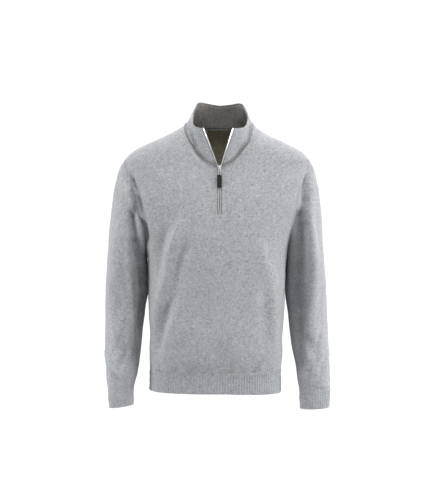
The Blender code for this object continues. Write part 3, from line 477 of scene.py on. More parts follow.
def at_shares(values, points, shares):
    """Values read at shares of the way along a dense line of points."""
    way = lengths(points)
    return np.interp(np.asarray(shares) * way[-1], way, values)


def faded(along, past):
    """1 on a line, from 0 to 1 along it, fading over END_FADE to a share of its length past its ends."""
    return ease((along + past) / END_FADE) * ease((1 + past - along) / END_FADE)


def fold_height(folds, across, z):
    """Height of all the folds of a table at a place, each a rounded line that fades at its ends."""
    total = np.zeros(np.broadcast(across, z).shape)
    for a0, b0, a1, b1, wide, high in zip(*folds.values()):
        down = (z - b0) / (b1 - b0)
        line = a0 + (a1 - a0) * down
        total = total + high * faded(down, FOLD_PAST) * np.exp(-(((across - line) / wide) ** 2))
    return total


def gather_height(side, x, z):
    """Puckers above the hem rib."""
    rows = GATHERS[side]
    total = np.zeros(np.broadcast(x, z).shape)
    for place, lean, reach, wide, deep in zip(*(rows[key] for key in rows)):
        up = (z - HEM_TOP) / reach
        line = place + lean * up
        total = total - deep * (1 - ease(up)) * np.exp(-(((x - line) / wide) ** 2))
    return total


def crease_height(creases, across, z):
    """Height of fine creases: sharp valleys between slight banks, and round ridges."""
    total = np.zeros(np.broadcast(across, z).shape)
    for a0, b0, a1, b1, bow, wide, high in zip(*creases.values()):
        run, rise = a1 - a0, b1 - b0
        length = math.hypot(run, rise)
        along = ((across - a0) * run + (z - b0) * rise) / length**2
        off = ((across - a0) * rise - (z - b0) * run) / length
        off = (off - bow * 4 * along * (1 - along)) / wide
        if high < 0:
            shape = (1 + off**2) ** -1.5 - BANK_HEIGHT * np.exp(-((np.abs(off) - BANK_OFF) ** 2))
        else:
            shape = np.exp(-(off**2))
        total = total + high * faded(along, CREASE_PAST) * shape
    return total


def ripple(points, size, seed):
    """Smooth noise of about -1 to 1, with features of a given size."""
    rng = np.random.default_rng(seed)
    total = np.zeros(points.shape[:-1])
    for _ in range(RIPPLE_WAVES):
        direction = unit(rng.normal(size=3))
        length = size * rng.uniform(*RIPPLE_SPREAD)
        total = total + np.sin(points @ direction * 2 * math.pi / length + rng.uniform(0, 2 * math.pi))
    return total / math.sqrt(RIPPLE_WAVES)


def unevenness(points):
    """Slight rise and fall of worn cloth."""
    return sum(high * ripple(points, size, seed) for seed, (size, high) in enumerate(RIPPLES))


def armhole_depth(side, z):
    """How far in front of or behind the seam's plane the armhole lies."""
    share = np.clip((z - ARMPIT) / (SHOULDER_TIP - ARMPIT), 0.0, 1.0)
    widest = ARMHOLE_FRONT if side == "front" else ARMHOLE_BACK
    return widest * np.sin(math.pi * share) ** ARMHOLE_ROUNDNESS


def section(side, z):
    """Half width, depth and end angle of the torso's section at a height."""
    depth = smooth(TORSO, side, z)
    edge = np.where(z > SHOULDER_TIP, smooth(SHOULDER, "edge", z), smooth(TORSO, "edge", z))
    close = armhole_depth(side, z) / depth
    across = (1 - close ** ROUNDNESS) ** (1 / ROUNDNESS)
    return edge / across, depth, np.arctan2(across, close)


def smooth_torso(side, reach, z):
    """The torso without its folds. Reach is 0 on the middle line and 1 at the side, armhole or shoulder."""
    width, depth, end = section(side, z)
    angle = np.abs(reach) * end
    spread = (np.abs(np.sin(angle)) ** ROUNDNESS + np.abs(np.cos(angle)) ** ROUNDNESS) ** (-1 / ROUNDNESS)
    facing = -1 if side == "front" else 1
    rise = ease((z - NECK_TURN) / (NECK_SIDE - NECK_TURN))
    shift = NECK_SHIFT * (1 - np.abs(reach) * (1 - rise))
    x = np.sign(reach) * width * spread * np.sin(angle) + shift + smooth(TORSO, "middle", z)
    y = smooth(TORSO, "seam", z) + facing * depth * spread * np.cos(angle)
    return np.stack([x, y, z + 0 * x], axis=-1)


def torso(side, reach, z):
    """A point of the torso's outer face."""
    points = smooth_torso(side, reach, z)
    width, depth, _ = section(side, z)
    seam = smooth(TORSO, "seam", z)
    out = np.stack(
        [points[..., 0] / width**2, (points[..., 1] - seam) / depth**2, np.zeros_like(width * reach)],
        axis=-1,
    )
    x = points[..., 0]
    inward = 1 - np.abs(reach)
    broad = fold_height(FOLDS[side], x, z) + gather_height(side, x, z)
    fine = crease_height(CREASES[side], x, z) + unevenness(points)
    height = broad * ease(inward / FOLD_FADE) + fine * ease(inward / CREASE_FADE)
    return points + unit(out) * height[..., None]


def torso_normal(side, reach, z):
    """The outward direction of the torso's face."""
    near, low = 0.003, 1.0
    inward = reach - near * np.sign(reach + 1e-9)
    across = (torso(side, reach, z) - torso(side, inward, z)) * np.sign(reach + 1e-9)[..., None]
    along = torso(side, reach, z + low) - torso(side, reach, z - low)
    normal = unit(np.cross(across, along))
    return normal if side == "front" else -normal


def half_girth(side, z):
    """Length of the section from the middle line to its edge."""
    z = np.asarray(z, float)
    shares = np.linspace(0, 1, GIRTH_POINTS).reshape((-1,) + (1,) * z.ndim)
    points = smooth_torso(side, shares + 0 * z, z + 0 * shares)
    return np.linalg.norm(np.diff(points, axis=0), axis=-1).sum(axis=0)


def reach_of(side, x, z):
    """Reach of a place x from the middle line."""
    width, _, end = section(side, z)
    share = np.clip(x / width, 0.0, 1.0)
    return np.arctan2(share, (1 - share ** ROUNDNESS) ** (1 / ROUNDNESS)) / end


def seam_line(side, reach, z):
    """A line on the torso as (girth, z) pairs."""
    return np.stack([reach * half_girth(side, z), z], axis=-1)


def neck_line(side, shares):
    """The neck seam at shares of its length, as (girth, z) pairs."""
    x, z = through(NECKLINE[side], "xz", DENSE_POINTS)
    points = smooth_torso(side, reach_of(side, x, z), z)
    x, z = (at_shares(values, points, shares) for values in (x, z))
    return seam_line(side, np.minimum(reach_of(side, x, z), 1.0), z)


def edge_line(side, low, high, shares):
    """The side of the section from one height to another, at shares of its length."""
    dense = np.linspace(low, high, DENSE_POINTS)
    points = smooth_torso(side, np.ones_like(dense), dense)
    z = at_shares(dense, points, shares)
    return seam_line(side, np.ones_like(z), z)


def coons(bottom, top, inner, outer, v):
    """A patch inside four lines. Rows follow v, columns follow the bottom and top lines' points."""
    u = np.linspace(0, 1, len(bottom))[None, :, None]
    v = v[:, None, None]
    ruled = (1 - v) * bottom[None] + v * top[None] + (1 - u) * inner[:, None] + u * outer[:, None]
    corners = (1 - v) * ((1 - u) * bottom[0] + u * bottom[-1]) + v * ((1 - u) * top[0] + u * top[-1])
    return ruled - corners


def body_levels(top):
    """Heights of the rows between the hem rib and the chest."""
    return HEM_TOP + (top - HEM_TOP) * np.linspace(0, 1, BODY_ROWS + 1) ** HEM_CROWDING


def shoulder_shares():
    """Shares of the way up the shoulder patch of its rows."""
    return 1 - (1 - np.linspace(0, 1, SHOULDER_ROWS + 1)) ** RIDGE_CROWDING


def half_panel(side, inner_levels, columns, first, top, inner, v):
    """Half of a panel as a grid of (reach, z), from the hem up and from the middle out."""
    outer_levels = np.concatenate([
        body_levels(ARMPIT),
        edge_line(side, ARMPIT, CHEST_ROW, np.arange(1, CHEST_ROWS + 1) / CHEST_ROWS)[:, 1],
    ])
    share = np.linspace(0, 1, columns + 1)
    z = inner_levels[:, None] + (outer_levels - inner_levels)[:, None] * share
    girth = half_girth(side, z)
    body = np.stack([first + (girth - first) * share, z], axis=-1)
    outer = edge_line(side, CHEST_ROW, SHOULDER_TIP, np.linspace(0, 1, len(v)))
    head = coons(body[-1], top, inner, outer, v)
    grid = np.concatenate([body, head[1:]])
    reach = grid[..., 0] / half_girth(side, grid[..., 1])
    reach = np.minimum(reach, 1 - 0.5 * SEAM / half_girth(side, grid[..., 1]))
    return reach, grid[..., 1]


def front_grid():
    """Reach and height of the front panel: left half, then right half, with the zip's slot between."""
    zip_levels = np.linspace(ZIP_BOTTOM, NECK_FRONT, ZIP_ROWS + 1)
    step = zip_levels[1] - zip_levels[0]
    waist = ZIP_BOTTOM - step * (CHEST_ROWS - ZIP_ROWS)
    inner_levels = np.concatenate([
        body_levels(waist),
        np.linspace(waist, ZIP_BOTTOM, CHEST_ROWS - ZIP_ROWS + 1)[1:],
        zip_levels[1:],
    ])
    v = shoulder_shares()
    top = edge_line("front", NECK_SIDE, SHOULDER_TIP, np.linspace(0, 1, SIDE_COLUMNS + 1))
    reach, z = half_panel("front", inner_levels, SIDE_COLUMNS, SLOT, top, neck_line("front", v), v)
    return np.concatenate([-reach[:, ::-1], reach], axis=1), np.concatenate([z[:, ::-1], z], axis=1)


def back_grid():
    """Reach and height of the back panel."""
    inner_levels = np.concatenate([
        body_levels(ARMPIT),
        np.linspace(ARMPIT, CHEST_ROW, CHEST_ROWS + 1)[1:],
    ])
    v = shoulder_shares()
    neck = neck_line("back", np.linspace(0, 1, BACK_NECK_COLUMNS + 1))
    shoulder_columns = BACK_COLUMNS - BACK_NECK_COLUMNS
    shoulder = edge_line("back", NECK_SIDE, SHOULDER_TIP, np.linspace(0, 1, shoulder_columns + 1))
    top = np.concatenate([neck, shoulder[1:]])
    middle = CHEST_ROW + (NECK_BACK - CHEST_ROW) * v
    inner = np.stack([0 * middle, middle], axis=-1)
    reach, z = half_panel("back", inner_levels, BACK_COLUMNS, 0.0, top, inner, v)
    return (
        np.concatenate([-reach[:, :0:-1], reach], axis=1),
        np.concatenate([z[:, :0:-1], z], axis=1),
    )


def panel_walls(side, grid):
    """Outer and inner points of a panel."""
    reach, z = grid
    outer = torso(side, reach, z)
    normal = torso_normal(side, reach, z)
    normal[0, :, 2] = 0
    normal = unit(normal)
    return outer, outer - WALL * normal


def grid_cells(rows, columns, closed=False, skip=None):
    """Four-cornered cells of a grid of points, as index lists."""
    cells = []
    for r in range(rows - 1):
        for c in range(columns if closed else columns - 1):
            if skip and skip(r, c):
                continue
            d = (c + 1) % columns
            cells.append((r * columns + c, r * columns + d, (r + 1) * columns + d, (r + 1) * columns + c))
    return cells


def rim_cells(cells, count):
    """Cells that close a wall along the edges that only one cell uses."""
    uses = {}
    for cell in cells:
        for a, b in zip(cell, cell[1:] + cell[:1]):
            uses[(a, b)] = True
    return [(b, a, a + count, b + count) for a, b in uses if (b, a) not in uses]


def add_item(name, data):
    """A new object in the scene."""
    item = bpy.data.objects.new(name, data)
    bpy.context.scene.collection.objects.link(item)
    return item


def add_bevel(item, width, segments, angle):
    """Rounds the edges where faces meet at more than an angle, and keeps the faces' own shading."""
    edge = item.modifiers.new("edge", "BEVEL")
    edge.width = width * MM
    edge.segments = segments
    edge.limit_method = "ANGLE"
    edge.angle_limit = math.radians(angle)
    edge.harden_normals = True


def new_object(name, points, faces, surfaces, kinds=None, fields=None, bevel=0.0):
    """One closed body, in metres, with its faces pointing out."""
    mesh = bpy.data.meshes.new(name)
    mesh.from_pydata((np.asarray(points) * MM).tolist(), [], faces)
    shape = bmesh.new()
    shape.from_mesh(mesh)
    bmesh.ops.recalc_face_normals(shape, faces=shape.faces)
    shape.to_mesh(mesh)
    shape.free()
    mesh.shade_smooth()
    for surface in surfaces:
        mesh.materials.append(surface)
    if kinds is not None:
        mesh.polygons.foreach_set("material_index", kinds)
    for key, values in (fields or {}).items():
        values = np.asarray(values, np.float32)
        if values.ndim == 1:
            mesh.attributes.new(key, "FLOAT", "POINT").data.foreach_set("value", values)
        else:
            mesh.attributes.new(key, "FLOAT_VECTOR", "POINT").data.foreach_set("vector", values.ravel())
    item = add_item(name, mesh)
    if bevel:
        add_bevel(item, bevel, EDGE_STEPS, EDGE_ANGLE)
    return item


def wall_object(name, outer, inner, surfaces, closed=False, skip=None, fields=None, bevel=EDGE_ROUND):
    """A wall between two grids of points: outer faces, inner faces and edges with their own surfaces."""
    rows, columns = outer.shape[:2]
    cells = grid_cells(rows, columns, closed, skip)
    count = rows * columns
    inside = [tuple(i + count for i in reversed(cell)) for cell in cells]
    rim = rim_cells(cells, count)
    points = np.concatenate([outer.reshape(-1, 3), inner.reshape(-1, 3)])
    kinds = [0] * len(cells) + [1] * len(inside) + [0] * len(rim)
    both = {}
    for key, values in (fields or {}).items():
        flat = values.reshape((count,) + values.shape[2:])
        both[key] = np.concatenate([flat, flat])
    return new_object(name, points, cells + inside + rim, surfaces, kinds, both, bevel)


def dense_line(line, step=1.0):
    """A line of points with a point each millimetre."""
    way = lengths(line)
    return read_along(way, line, np.arange(0, way[-1], step))


def distance_to(points, lines):
    """Distance of each point of a grid to the nearest of some lines."""
    dense = np.concatenate([dense_line(line) for line in lines])
    tree = KDTree(len(dense))
    for index, point in enumerate(dense):
        tree.insert(point, index)
    tree.balance()
    found = [tree.find(point)[2] for point in points.reshape(-1, 3)]
    return np.array(found).reshape(points.shape[:-1])


def cloth_fields(outer, seams, stitches, hung=False):
    """Fields that the cloth's material reads: place in the knit, and distances to seams and to stitching.

    The rows of a hung grid are measured up from its last row, each line for itself.
    """
    across = np.cumsum(np.linalg.norm(np.diff(outer, axis=1, prepend=outer[:, :1]), axis=-1), axis=1)
    across = across - across[:, across.shape[1] // 2][:, None]
    up = np.cumsum(np.linalg.norm(np.diff(outer, axis=0, prepend=outer[:1]), axis=-1), axis=0)
    middle = up[:, up.shape[1] // 2]
    up = up[-1] - up if hung else np.broadcast_to(middle[:, None], across.shape)
    far = np.full(across.shape, FAR_AWAY)
    return {
        "cloth": np.stack([across, up, 0 * up], axis=-1),
        "seam": distance_to(outer, seams) if seams else far,
        "stitch": distance_to(outer, stitches) if stitches else far,
    }


def grid_normals(points, closed=False):
    """Directions square to a grid's face, by the differences between its points."""
    along = np.gradient(points, axis=0)
    if closed:
        across = np.roll(points, -1, axis=1) - np.roll(points, 1, axis=1)
    else:
        across = np.gradient(points, axis=1)
    return unit(np.cross(across, along))


def step_off(outer, inner, away, closed=False):
    """A seam's two edges moved across the open line, square to the seam and towards a side."""
    if closed:
        along = np.roll(outer, -1, axis=0) - np.roll(outer, 1, axis=0)
    else:
        along = np.gradient(outer, axis=0)
    across = unit(np.cross(along, outer - inner))
    across = across * np.sign((across * away).sum(axis=-1, keepdims=True))
    return outer + SEAM * across, inner + SEAM * across, across


def sleeve_angles(loop):
    """Turn round the sleeve of each point of an armhole loop, from the shoulder's tip forward."""
    steps = np.linalg.norm(np.roll(loop, -1, axis=0) - loop, axis=-1)
    half = len(loop) // 2
    front = math.pi * np.concatenate([[0], np.cumsum(steps[:half])]) / steps[:half].sum()
    back = math.pi * (1 + np.concatenate([[0], np.cumsum(steps[half:])]) / steps[half:].sum())
    return np.concatenate([front, back[1:-1]])


def sleeve_fold(side, angle, z):
    """Height of the sleeve's folds, which leave its inner edge and the cuff plain."""
    turn = np.degrees(angle) % 360
    inside = ease((-math.cos(math.radians(PLAIN_INSIDE)) - np.cos(angle)) / PLAIN_FADE)
    return fold_height(SLEEVE_FOLDS[side], turn, z) * ease((z - CUFF_TOP) / CUFF_FADE) * (1 - inside)


def sleeve_out(side, angle):
    """The direction in which a sleeve's folds rise."""
    return np.stack([side * np.cos(angle), -np.sin(angle), 0 * angle], axis=-1)


def plain_ring(side, angle, z):
    """A point of the sleeve below its head, without folds."""
    rows = SLEEVES[side]
    out, inn = smooth(rows, "out", z), smooth(rows, "inn", z)
    middle, half = (out + inn) / 2, (out - inn) / 2
    n = SLEEVE_ROUNDNESS
    spread = (np.abs(np.cos(angle)) ** n + np.abs(np.sin(angle)) ** n) ** (-1 / n)
    x = middle + half * spread * np.cos(angle)
    y = smooth(rows, "y", z) - smooth(rows, "depth", z) * spread * np.sin(angle)
    level = z + smooth(rows, "slope", z) * (x - middle)
    return np.stack([side * x, y, level + 0 * x], axis=-1)


def sleeve_ring(side, angle, z):
    return plain_ring(side, angle, z) + sleeve_out(side, angle) * sleeve_fold(side, angle, z)[..., None]


def sleeve_head(side, start, angle, shares):
    """Rings from the armhole to the first oval ring, each line leaving the armhole out and down."""
    ring, below = (
        plain_ring(side, angle, np.full_like(angle, SLEEVE_RING - low)) for low in (0.0, ARRIVE_STEP)
    )
    chord = np.linalg.norm(ring - start, axis=-1, keepdims=True)
    over_tip = (1 + np.cos(angle)) / 2
    outward = LEAVE_PIT[0] + (LEAVE_TIP[0] - LEAVE_PIT[0]) * over_tip
    down = LEAVE_PIT[1] + (LEAVE_TIP[1] - LEAVE_PIT[1]) * over_tip
    leave = unit(np.stack([side * outward, -LEAVE_FORWARD * np.sin(angle), -down], axis=-1))
    arrive = unit(below - ring)
    t = np.asarray(shares)[:, None, None]
    pull = t * (1 - t) ** 2 * LEAVE_PULL * leave + t * t * (t - 1) * ARRIVE_PULL * arrive
    lines = start + (ring - start) * ease(t) + chord * pull
    bump = sleeve_fold(side, angle, lines[..., 2]) * ease(t[..., 0] / HEAD_FADE)
    return lines + sleeve_out(side, angle) * bump[..., None]


def armhole_loop(side, front, back):
    """Outer and inner points of an armhole's edges: the tip, down the front, the armpit, up the back."""
    column = -1 if side > 0 else 0
    pick = slice(BODY_ROWS, None)
    fronts = [wall[pick, column][::-1] for wall in front]
    backs = [wall[pick, column] for wall in back]
    loops = []
    for f, b in zip(fronts, backs):
        tip = (f[0] + b[-1]) / 2
        pit = (f[-1] + b[0]) / 2
        loops.append(np.concatenate([[tip], f[1:-1], [pit], b[1:-1]]))
    return loops


def flat_inner(ring, wall):
    """A closed ring moved in by a wall, in its own plane."""
    along = unit(np.roll(ring, -1, axis=0) - np.roll(ring, 1, axis=0))
    middle = ring.mean(axis=0)
    radial = middle - ring
    radial = radial - (radial * along).sum(axis=-1, keepdims=True) * along
    return ring + wall * unit(radial)


def add_sleeve(name, side, front, back, surfaces):
    loop_outer, loop_inner = armhole_loop(side, front, back)
    away = np.array([side, 0.0, -0.3])
    start, start_inner, _ = step_off(loop_outer, loop_inner, away, closed=True)
    angle = sleeve_angles(loop_outer)
    shares = np.arange(1, HEAD_ROWS + 1) / HEAD_ROWS
    head = sleeve_head(side, start, angle, shares)
    levels = np.linspace(SLEEVE_RING, CUFF_TOP, ARM_ROWS + 1)[1:]
    arm = np.stack([sleeve_ring(side, angle, np.full_like(angle, z)) for z in levels])
    outer = np.concatenate([start[None], head, arm])
    normals = grid_normals(outer, closed=True) * side
    rows = np.arange(len(outer))
    fade = ease(rows / EVEN_ROWS) * ease((len(outer) - 1 - rows) / EVEN_ROWS)
    outer = outer + normals * (unevenness(outer) * fade[:, None])[..., None]
    normals = grid_normals(outer, closed=True) * side
    inner = outer - WALL * normals
    inner[0] = start_inner
    inner[-1] = flat_inner(outer[-1], WALL)
    loop, end, stitch, out = (
        np.concatenate([ring, ring[:1]]) for ring in (start, outer[-1], outer[-2], normals[-2])
    )
    fields = cloth_fields(outer, [loop, end], [stitch], hung=True)
    return wall_object(name, outer, inner, surfaces, closed=True, fields=fields), (stitch, out)


def add_rib(name, place, surfaces):
    """A ribbed tube. place(turn, share) gives the plain outer face, from the top (0) to the bottom (1)."""
    ribs = rib_count(place)
    count = RIB_POINTS * ribs
    turns = np.arange(count) * 2 * math.pi / count
    shares = np.linspace(0, 1, RIB_ROWS)
    plain = np.stack([place(turns, share) for share in shares])
    raised = ease(RIB_MIDDLE + RIB_SWING * np.cos(turns * ribs))
    hold = ease(shares / RIB_TOP_FADE) * ease((1 - shares) / RIB_END_FADE)
    rise = RIB_RISE * raised * (RIB_LEAST + (1 - RIB_LEAST) * hold[:, None])
    size, high = RIB_RIPPLE
    uneven = high * ripple(plain, size, 5) * hold[:, None]
    outer = np.stack([flat_inner(ring, -(r + u)[:, None]) for ring, r, u in zip(plain, rise, uneven)])
    inner = np.stack([flat_inner(ring, WALL) for ring in plain])
    top = np.concatenate([outer[0], outer[0, :1]])
    fields = cloth_fields(outer, [top], [])
    return wall_object(name, outer, inner, surfaces, closed=True, fields=fields)


def hem_place(turn, share):
    """The hem rib's plain face: turn 0 is at the viewer's right side seam, a quarter is in front."""
    z = HEM_TOP - SEAM + (HEM_BOTTOM - HEM_TOP + SEAM) * share
    angle = np.asarray(turn) % (2 * math.pi)
    in_front = angle < math.pi
    quarter = np.where(in_front, angle - math.pi / 2, 3 * math.pi / 2 - angle)
    reach = -quarter / (math.pi / 2)
    level = np.full_like(reach, z)
    front, back = (smooth_torso(side, reach, level) for side in ("front", "back"))
    points = np.where(in_front[:, None], front, back)
    points[:, 2] -= share * HEM_DROP * np.maximum(points[:, 0] - HEM_DROP_FROM, 0)
    return points


def cuff_place(side):
    def place(turn, share):
        z = CUFF_TOP + (CUFF_BOTTOM[side] - CUFF_TOP) * share
        points = sleeve_ring(side, np.asarray(turn), np.full(len(turn), z))
        across = side * points[:, 0]
        points[:, 2] += share * CUFF_TILT[side] * (across - across.mean()) - SEAM
        return points

    return place


def rib_count(place):
    """Whole ribs round a tube, in fours so that its plain inside closes."""
    ring = place(np.linspace(0, 2 * math.pi, RING_POINTS + 1)[:-1], 0.5)
    length = np.linalg.norm(np.roll(ring, -1, axis=0) - ring, axis=-1).sum()
    return 4 * round(length / RIB_PITCH / 4)


def neck_loop(front, back):
    """Outer and inner points of the neck seam, from the viewer's left of the zip round the back."""
    neck_row = BODY_ROWS + CHEST_ROWS
    middle = BACK_COLUMNS
    loops = []
    for f, b in zip(front, back):
        left = f[neck_row:, SIDE_COLUMNS]
        right = f[neck_row:, SIDE_COLUMNS + 1]
        behind = b[-1, middle - BACK_NECK_COLUMNS : middle + BACK_NECK_COLUMNS + 1]
        left_point = (left[-1] + behind[0]) / 2
        right_point = (right[-1] + behind[-1]) / 2
        loops.append(
            np.concatenate([left[:-1], [left_point], behind[1:-1], [right_point], right[-2::-1]])
        )
    return loops


def rim_line(shares):
    """Points of the collar's rim at shares of its length."""
    dense = np.stack(through(RIM, "xyz", RIM_POINTS), axis=-1)
    dense[:, 0] += NECK_SHIFT
    return np.stack([at_shares(dense[:, i], dense, shares) for i in range(3)], axis=-1)


def collar_face(seam, shares, rows):
    """Rows of points of the collar's outer face, from the neck seam to the rim."""
    rim = rim_line(shares)
    middle = np.array([NECK_SHIFT, 0.0, 0.0])
    out = (seam + rim) / 2 - middle
    out[:, 2] = 0
    swell = smooth(COLLAR_SWELL, "out", shares, "share")[:, None] * unit(out)
    v = np.asarray(rows)[:, None, None]
    points = seam + (rim - seam) * v + swell * 4 * v * (1 - v)
    size, high = COLLAR_RIPPLE
    uneven = high * ripple(points, size, 11) * ease(v[..., 0] / EVEN_COLLAR)
    return points + uneven[..., None] * unit(out)


def inset(grid, normals):
    """Points a stitch's distance along each line of a grid, with the directions there."""
    found = [
        [read_along(lengths(line), values, TOPSTITCH_IN) for values in (line, directions)]
        for line, directions in zip(grid, normals)
    ]
    line, directions = np.array(found).swapaxes(0, 1)
    return line, unit(directions)


def edge_runs(grid, normals):
    """Lines of stitches inside the two ends and the rim of a layer of the collar."""
    rim, ends = [grid[-1]], [grid[:, 0], grid[:, -1]]
    turned = [
        (grid, normals, rim),
        (grid[:, ::-1], normals[:, ::-1], rim),
        (grid[::-1].swapaxes(0, 1), normals[::-1].swapaxes(0, 1), ends),
    ]
    runs = []
    for lines, directions, others in turned:
        line, out = inset(lines, directions)
        clear = distance_to(line, others) > TOPSTITCH_IN - EDGE_ROUND
        runs.append((line[clear], out[clear]))
    return runs


def add_collar(front, back, cloth, lining):
    """The collar's outer and inner points, the collar and its facing, and the lines of stitches."""
    seam_outer, seam_inner = neck_loop(front, back)
    start, start_inner, _ = step_off(seam_outer, seam_inner, np.array([0.0, 0.0, 1.0]))
    shares = lengths(seam_outer) / lengths(seam_outer)[-1]
    outer = collar_face(start, shares, np.linspace(0, 1, COLLAR_ROWS + 1))
    normals = -grid_normals(outer)
    inner = outer - WALL * normals
    inner[0] = start_inner
    edges = [outer[:, 0], outer[-1], outer[:, -1]]
    depth = distance_to(outer, edges)
    fields = cloth_fields(outer, [outer[0]], [])
    fields["stitch"] = np.abs(depth - TOPSTITCH_IN)
    collar = wall_object("collar_cloth", outer, inner, cloth, fields=fields)
    rows = np.concatenate([[FACING_START], np.linspace(0, 1, COLLAR_ROWS + 1)[1:]])
    face = collar_face(start, shares, rows)
    out = -grid_normals(face)
    hold = (ease(rows / LINING_FADES[0]) * ease((1 - rows) / LINING_FADES[1]))[:, None]
    fold = sum(high * np.exp(-(((shares - at) / wide) ** 2)) for at, wide, high in LINING_FOLDS)
    near = face - (WALL + SEAM + hold * fold)[..., None] * out
    far = near - LINING * out
    depth = distance_to(far, [far[:, 0], far[-1], far[:, -1]])
    fields = cloth_fields(far, [], [])
    fields["stitch"] = np.abs(depth - TOPSTITCH_IN)
    facing = wall_object("collar_facing_cloth", near, far, lining, fields=fields)
    return outer, inner, collar, facing, edge_runs(outer, normals) + edge_runs(far, -out)


def tape_edges(side, front, collar):
    """The tape's face points: at the panel's and collar's edge, and at its free edge, and the way in."""
    column = SIDE_COLUMNS + (1 if side > 0 else 0)
    end = -1 if side > 0 else 0
    rows = slice(BODY_ROWS + CHEST_ROWS - ZIP_ROWS, BODY_ROWS + CHEST_ROWS + 1)
    outer, inner = (
        np.concatenate([wall[rows, column], ring[1:, end]]) for wall, ring in zip(front, collar)
    )
    outer[0, 2] += SEAM
    inner[0, 2] += SEAM
    depth = unit(inner - outer)
    near, _, across = step_off(outer, inner, np.array([-side, 0.0, 0.0]))
    width = SLOT - SEAM - TAPE_GAP
    lift = (WALL - TAPE_WALL) / 2
    return near + lift * depth, near + lift * depth + width * across, depth, across


def add_tape(name, side, front, collar, surfaces):
    near, free, depth, _ = tape_edges(side, front, collar)
    shares = np.linspace(0, 1, TAPE_COLUMNS)[:, None, None]
    face = near + (free - near) * shares
    fields = cloth_fields(face, [near], [])
    return wall_object(name, face, face + TAPE_WALL * depth, surfaces, fields=fields)


def along_line(line, directions, step, first):
    """Places a step apart along a line, with the line's direction and other directions there."""
    way = lengths(line)
    places = np.arange(first, way[-1] - LINE_END, step)
    directions = [np.gradient(line, way, axis=0), *directions]
    return [read_along(way, line, places)] + [unit(read_along(way, d, places)) for d in directions]


def add_teeth(name, side, front, collar, metal):
    """Teeth along the tape's free edge, in step with those of the other side."""
    _, free, depth, across = tape_edges(side, front, collar)
    first = TOOTH_FIRST + (side > 0) * TOOTH_PITCH / 2
    points, faces = [], []
    block = [(a, b, c) for c in (0, 1) for a, b in ((0, -1), (1, -1), (1, 1), (0, 1))]
    sides = ((0, 1, 2, 3), (4, 7, 6, 5), (0, 4, 5, 1), (1, 5, 6, 2), (2, 6, 7, 3), (3, 7, 4, 0))
    for spot, along, inward, over in zip(*along_line(free, [depth, across], TOOTH_PITCH, first)):
        faces += [tuple(len(points) + i for i in face) for face in sides]
        for a, b, c in block:
            half = TOOTH_HALF * (TOOTH_TIP if a else 1.0)
            place = spot + over * (TOOTH_FROM + (TOOTH_TO - TOOTH_FROM) * a) + along * half * b
            points.append(place - inward * (TOOTH_RISE - (TOOTH_RISE + TAPE_WALL + TOOTH_RISE) * c))
    return new_object(name, points, faces, [metal], bevel=TOOTH_ROUND)


def dressed_node(node, name, surface, bevel):
    """A copy of a hard node with softened edges and its own finish."""
    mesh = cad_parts[node].data.copy()
    mesh.materials.clear()
    mesh.materials.append(surface)
    item = add_item(name, mesh)
    weld = item.modifiers.new("weld", "WELD")
    weld.merge_threshold = WELD_REACH * MM
    add_bevel(item, bevel, HARD_EDGE_STEPS, HARD_EDGE_ANGLE)
    mesh.shade_smooth()
    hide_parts(node)
    return item


def offset_line(pairs, off):
    """A line of (girth, z) pairs moved sideways, to its left when off is above zero."""
    along = unit(np.gradient(pairs, axis=0))
    return pairs + off * np.stack([-along[:, 1], along[:, 0]], axis=-1)


def on_torso(side, reach, z):
    """Points of a panel with the outward directions there."""
    return torso(side, reach, z), torso_normal(side, reach, z)


def armhole_stitches(side, half, off):
    """A line beside the armhole, on a panel's left (-1) or right (1) half, with the outward directions."""
    z = np.linspace(ARMPIT + STITCH_START, SHOULDER_TIP, ARMHOLE_POINTS)
    girth, z = offset_line(np.stack([half_girth(side, z), z], axis=-1), off).T
    return on_torso(side, half * np.clip(girth / half_girth(side, z), 0.0, 1.0), z)


def placket_stitches():
    """Lines beside the zip, and the one across below it, with the outward directions."""
    runs = []
    for x in PLACKET_STITCHES:
        z = np.linspace(PLACKET_BOTTOM, NECK_FRONT - PLACKET_END, PLACKET_POINTS)
        runs.append(on_torso("front", np.sign(x) * reach_of("front", abs(x), z), z))
    x = np.linspace(*PLACKET_STITCHES, ACROSS_POINTS)
    z = np.full_like(x, PLACKET_BOTTOM)
    return runs + [on_torso("front", np.sign(x) * reach_of("front", np.abs(x), z), z)]


def hem_stitches(side):
    reach = np.linspace(-1, 1, HEM_POINTS)
    return on_torso(side, reach, np.full_like(reach, HEM_TOP + HEM_STITCHES))


def stitch_run(points, normals):
    """Stitches as small raised loops of thread along a line. Returns points and faces."""
    spots, along, up = along_line(points, [normals], STITCH_PITCH, FIRST_STITCH)
    sideways = np.cross(along, up)
    rings = []
    for share, rise, thick in STITCH_RINGS:
        centre = spots + along * (share * STITCH_LENGTH) + up * rise
        for corner in range(STITCH_SIDES):
            turn = 2 * math.pi * corner / STITCH_SIDES
            rings.append(centre + thick * THREAD * (math.cos(turn) * sideways + math.sin(turn) * up))
    points = np.stack(rings, axis=1)
    size = points.shape[1]
    single = grid_cells(len(STITCH_RINGS), STITCH_SIDES, closed=True)
    single += [tuple(range(STITCH_SIDES)), tuple(range(size - 1, size - 1 - STITCH_SIDES, -1))]
    starts = range(0, len(points) * size, size)
    return points.reshape(-1, 3), [tuple(start + i for i in face) for start in starts for face in single]


def add_stitches(name, runs, surface):
    """One piece for several lines of stitches."""
    points, faces = [], []
    for line, normals in runs:
        more, cells = stitch_run(line, normals)
        start = sum(len(p) for p in points)
        points.append(more)
        faces += [tuple(start + i for i in cell) for cell in cells]
    return new_object(name, np.concatenate(points), faces, [surface])


def node(tree, kind, **settings):
    made = tree.nodes.new(kind)
    for key, value in settings.items():
        setattr(made, key, value)
    return made


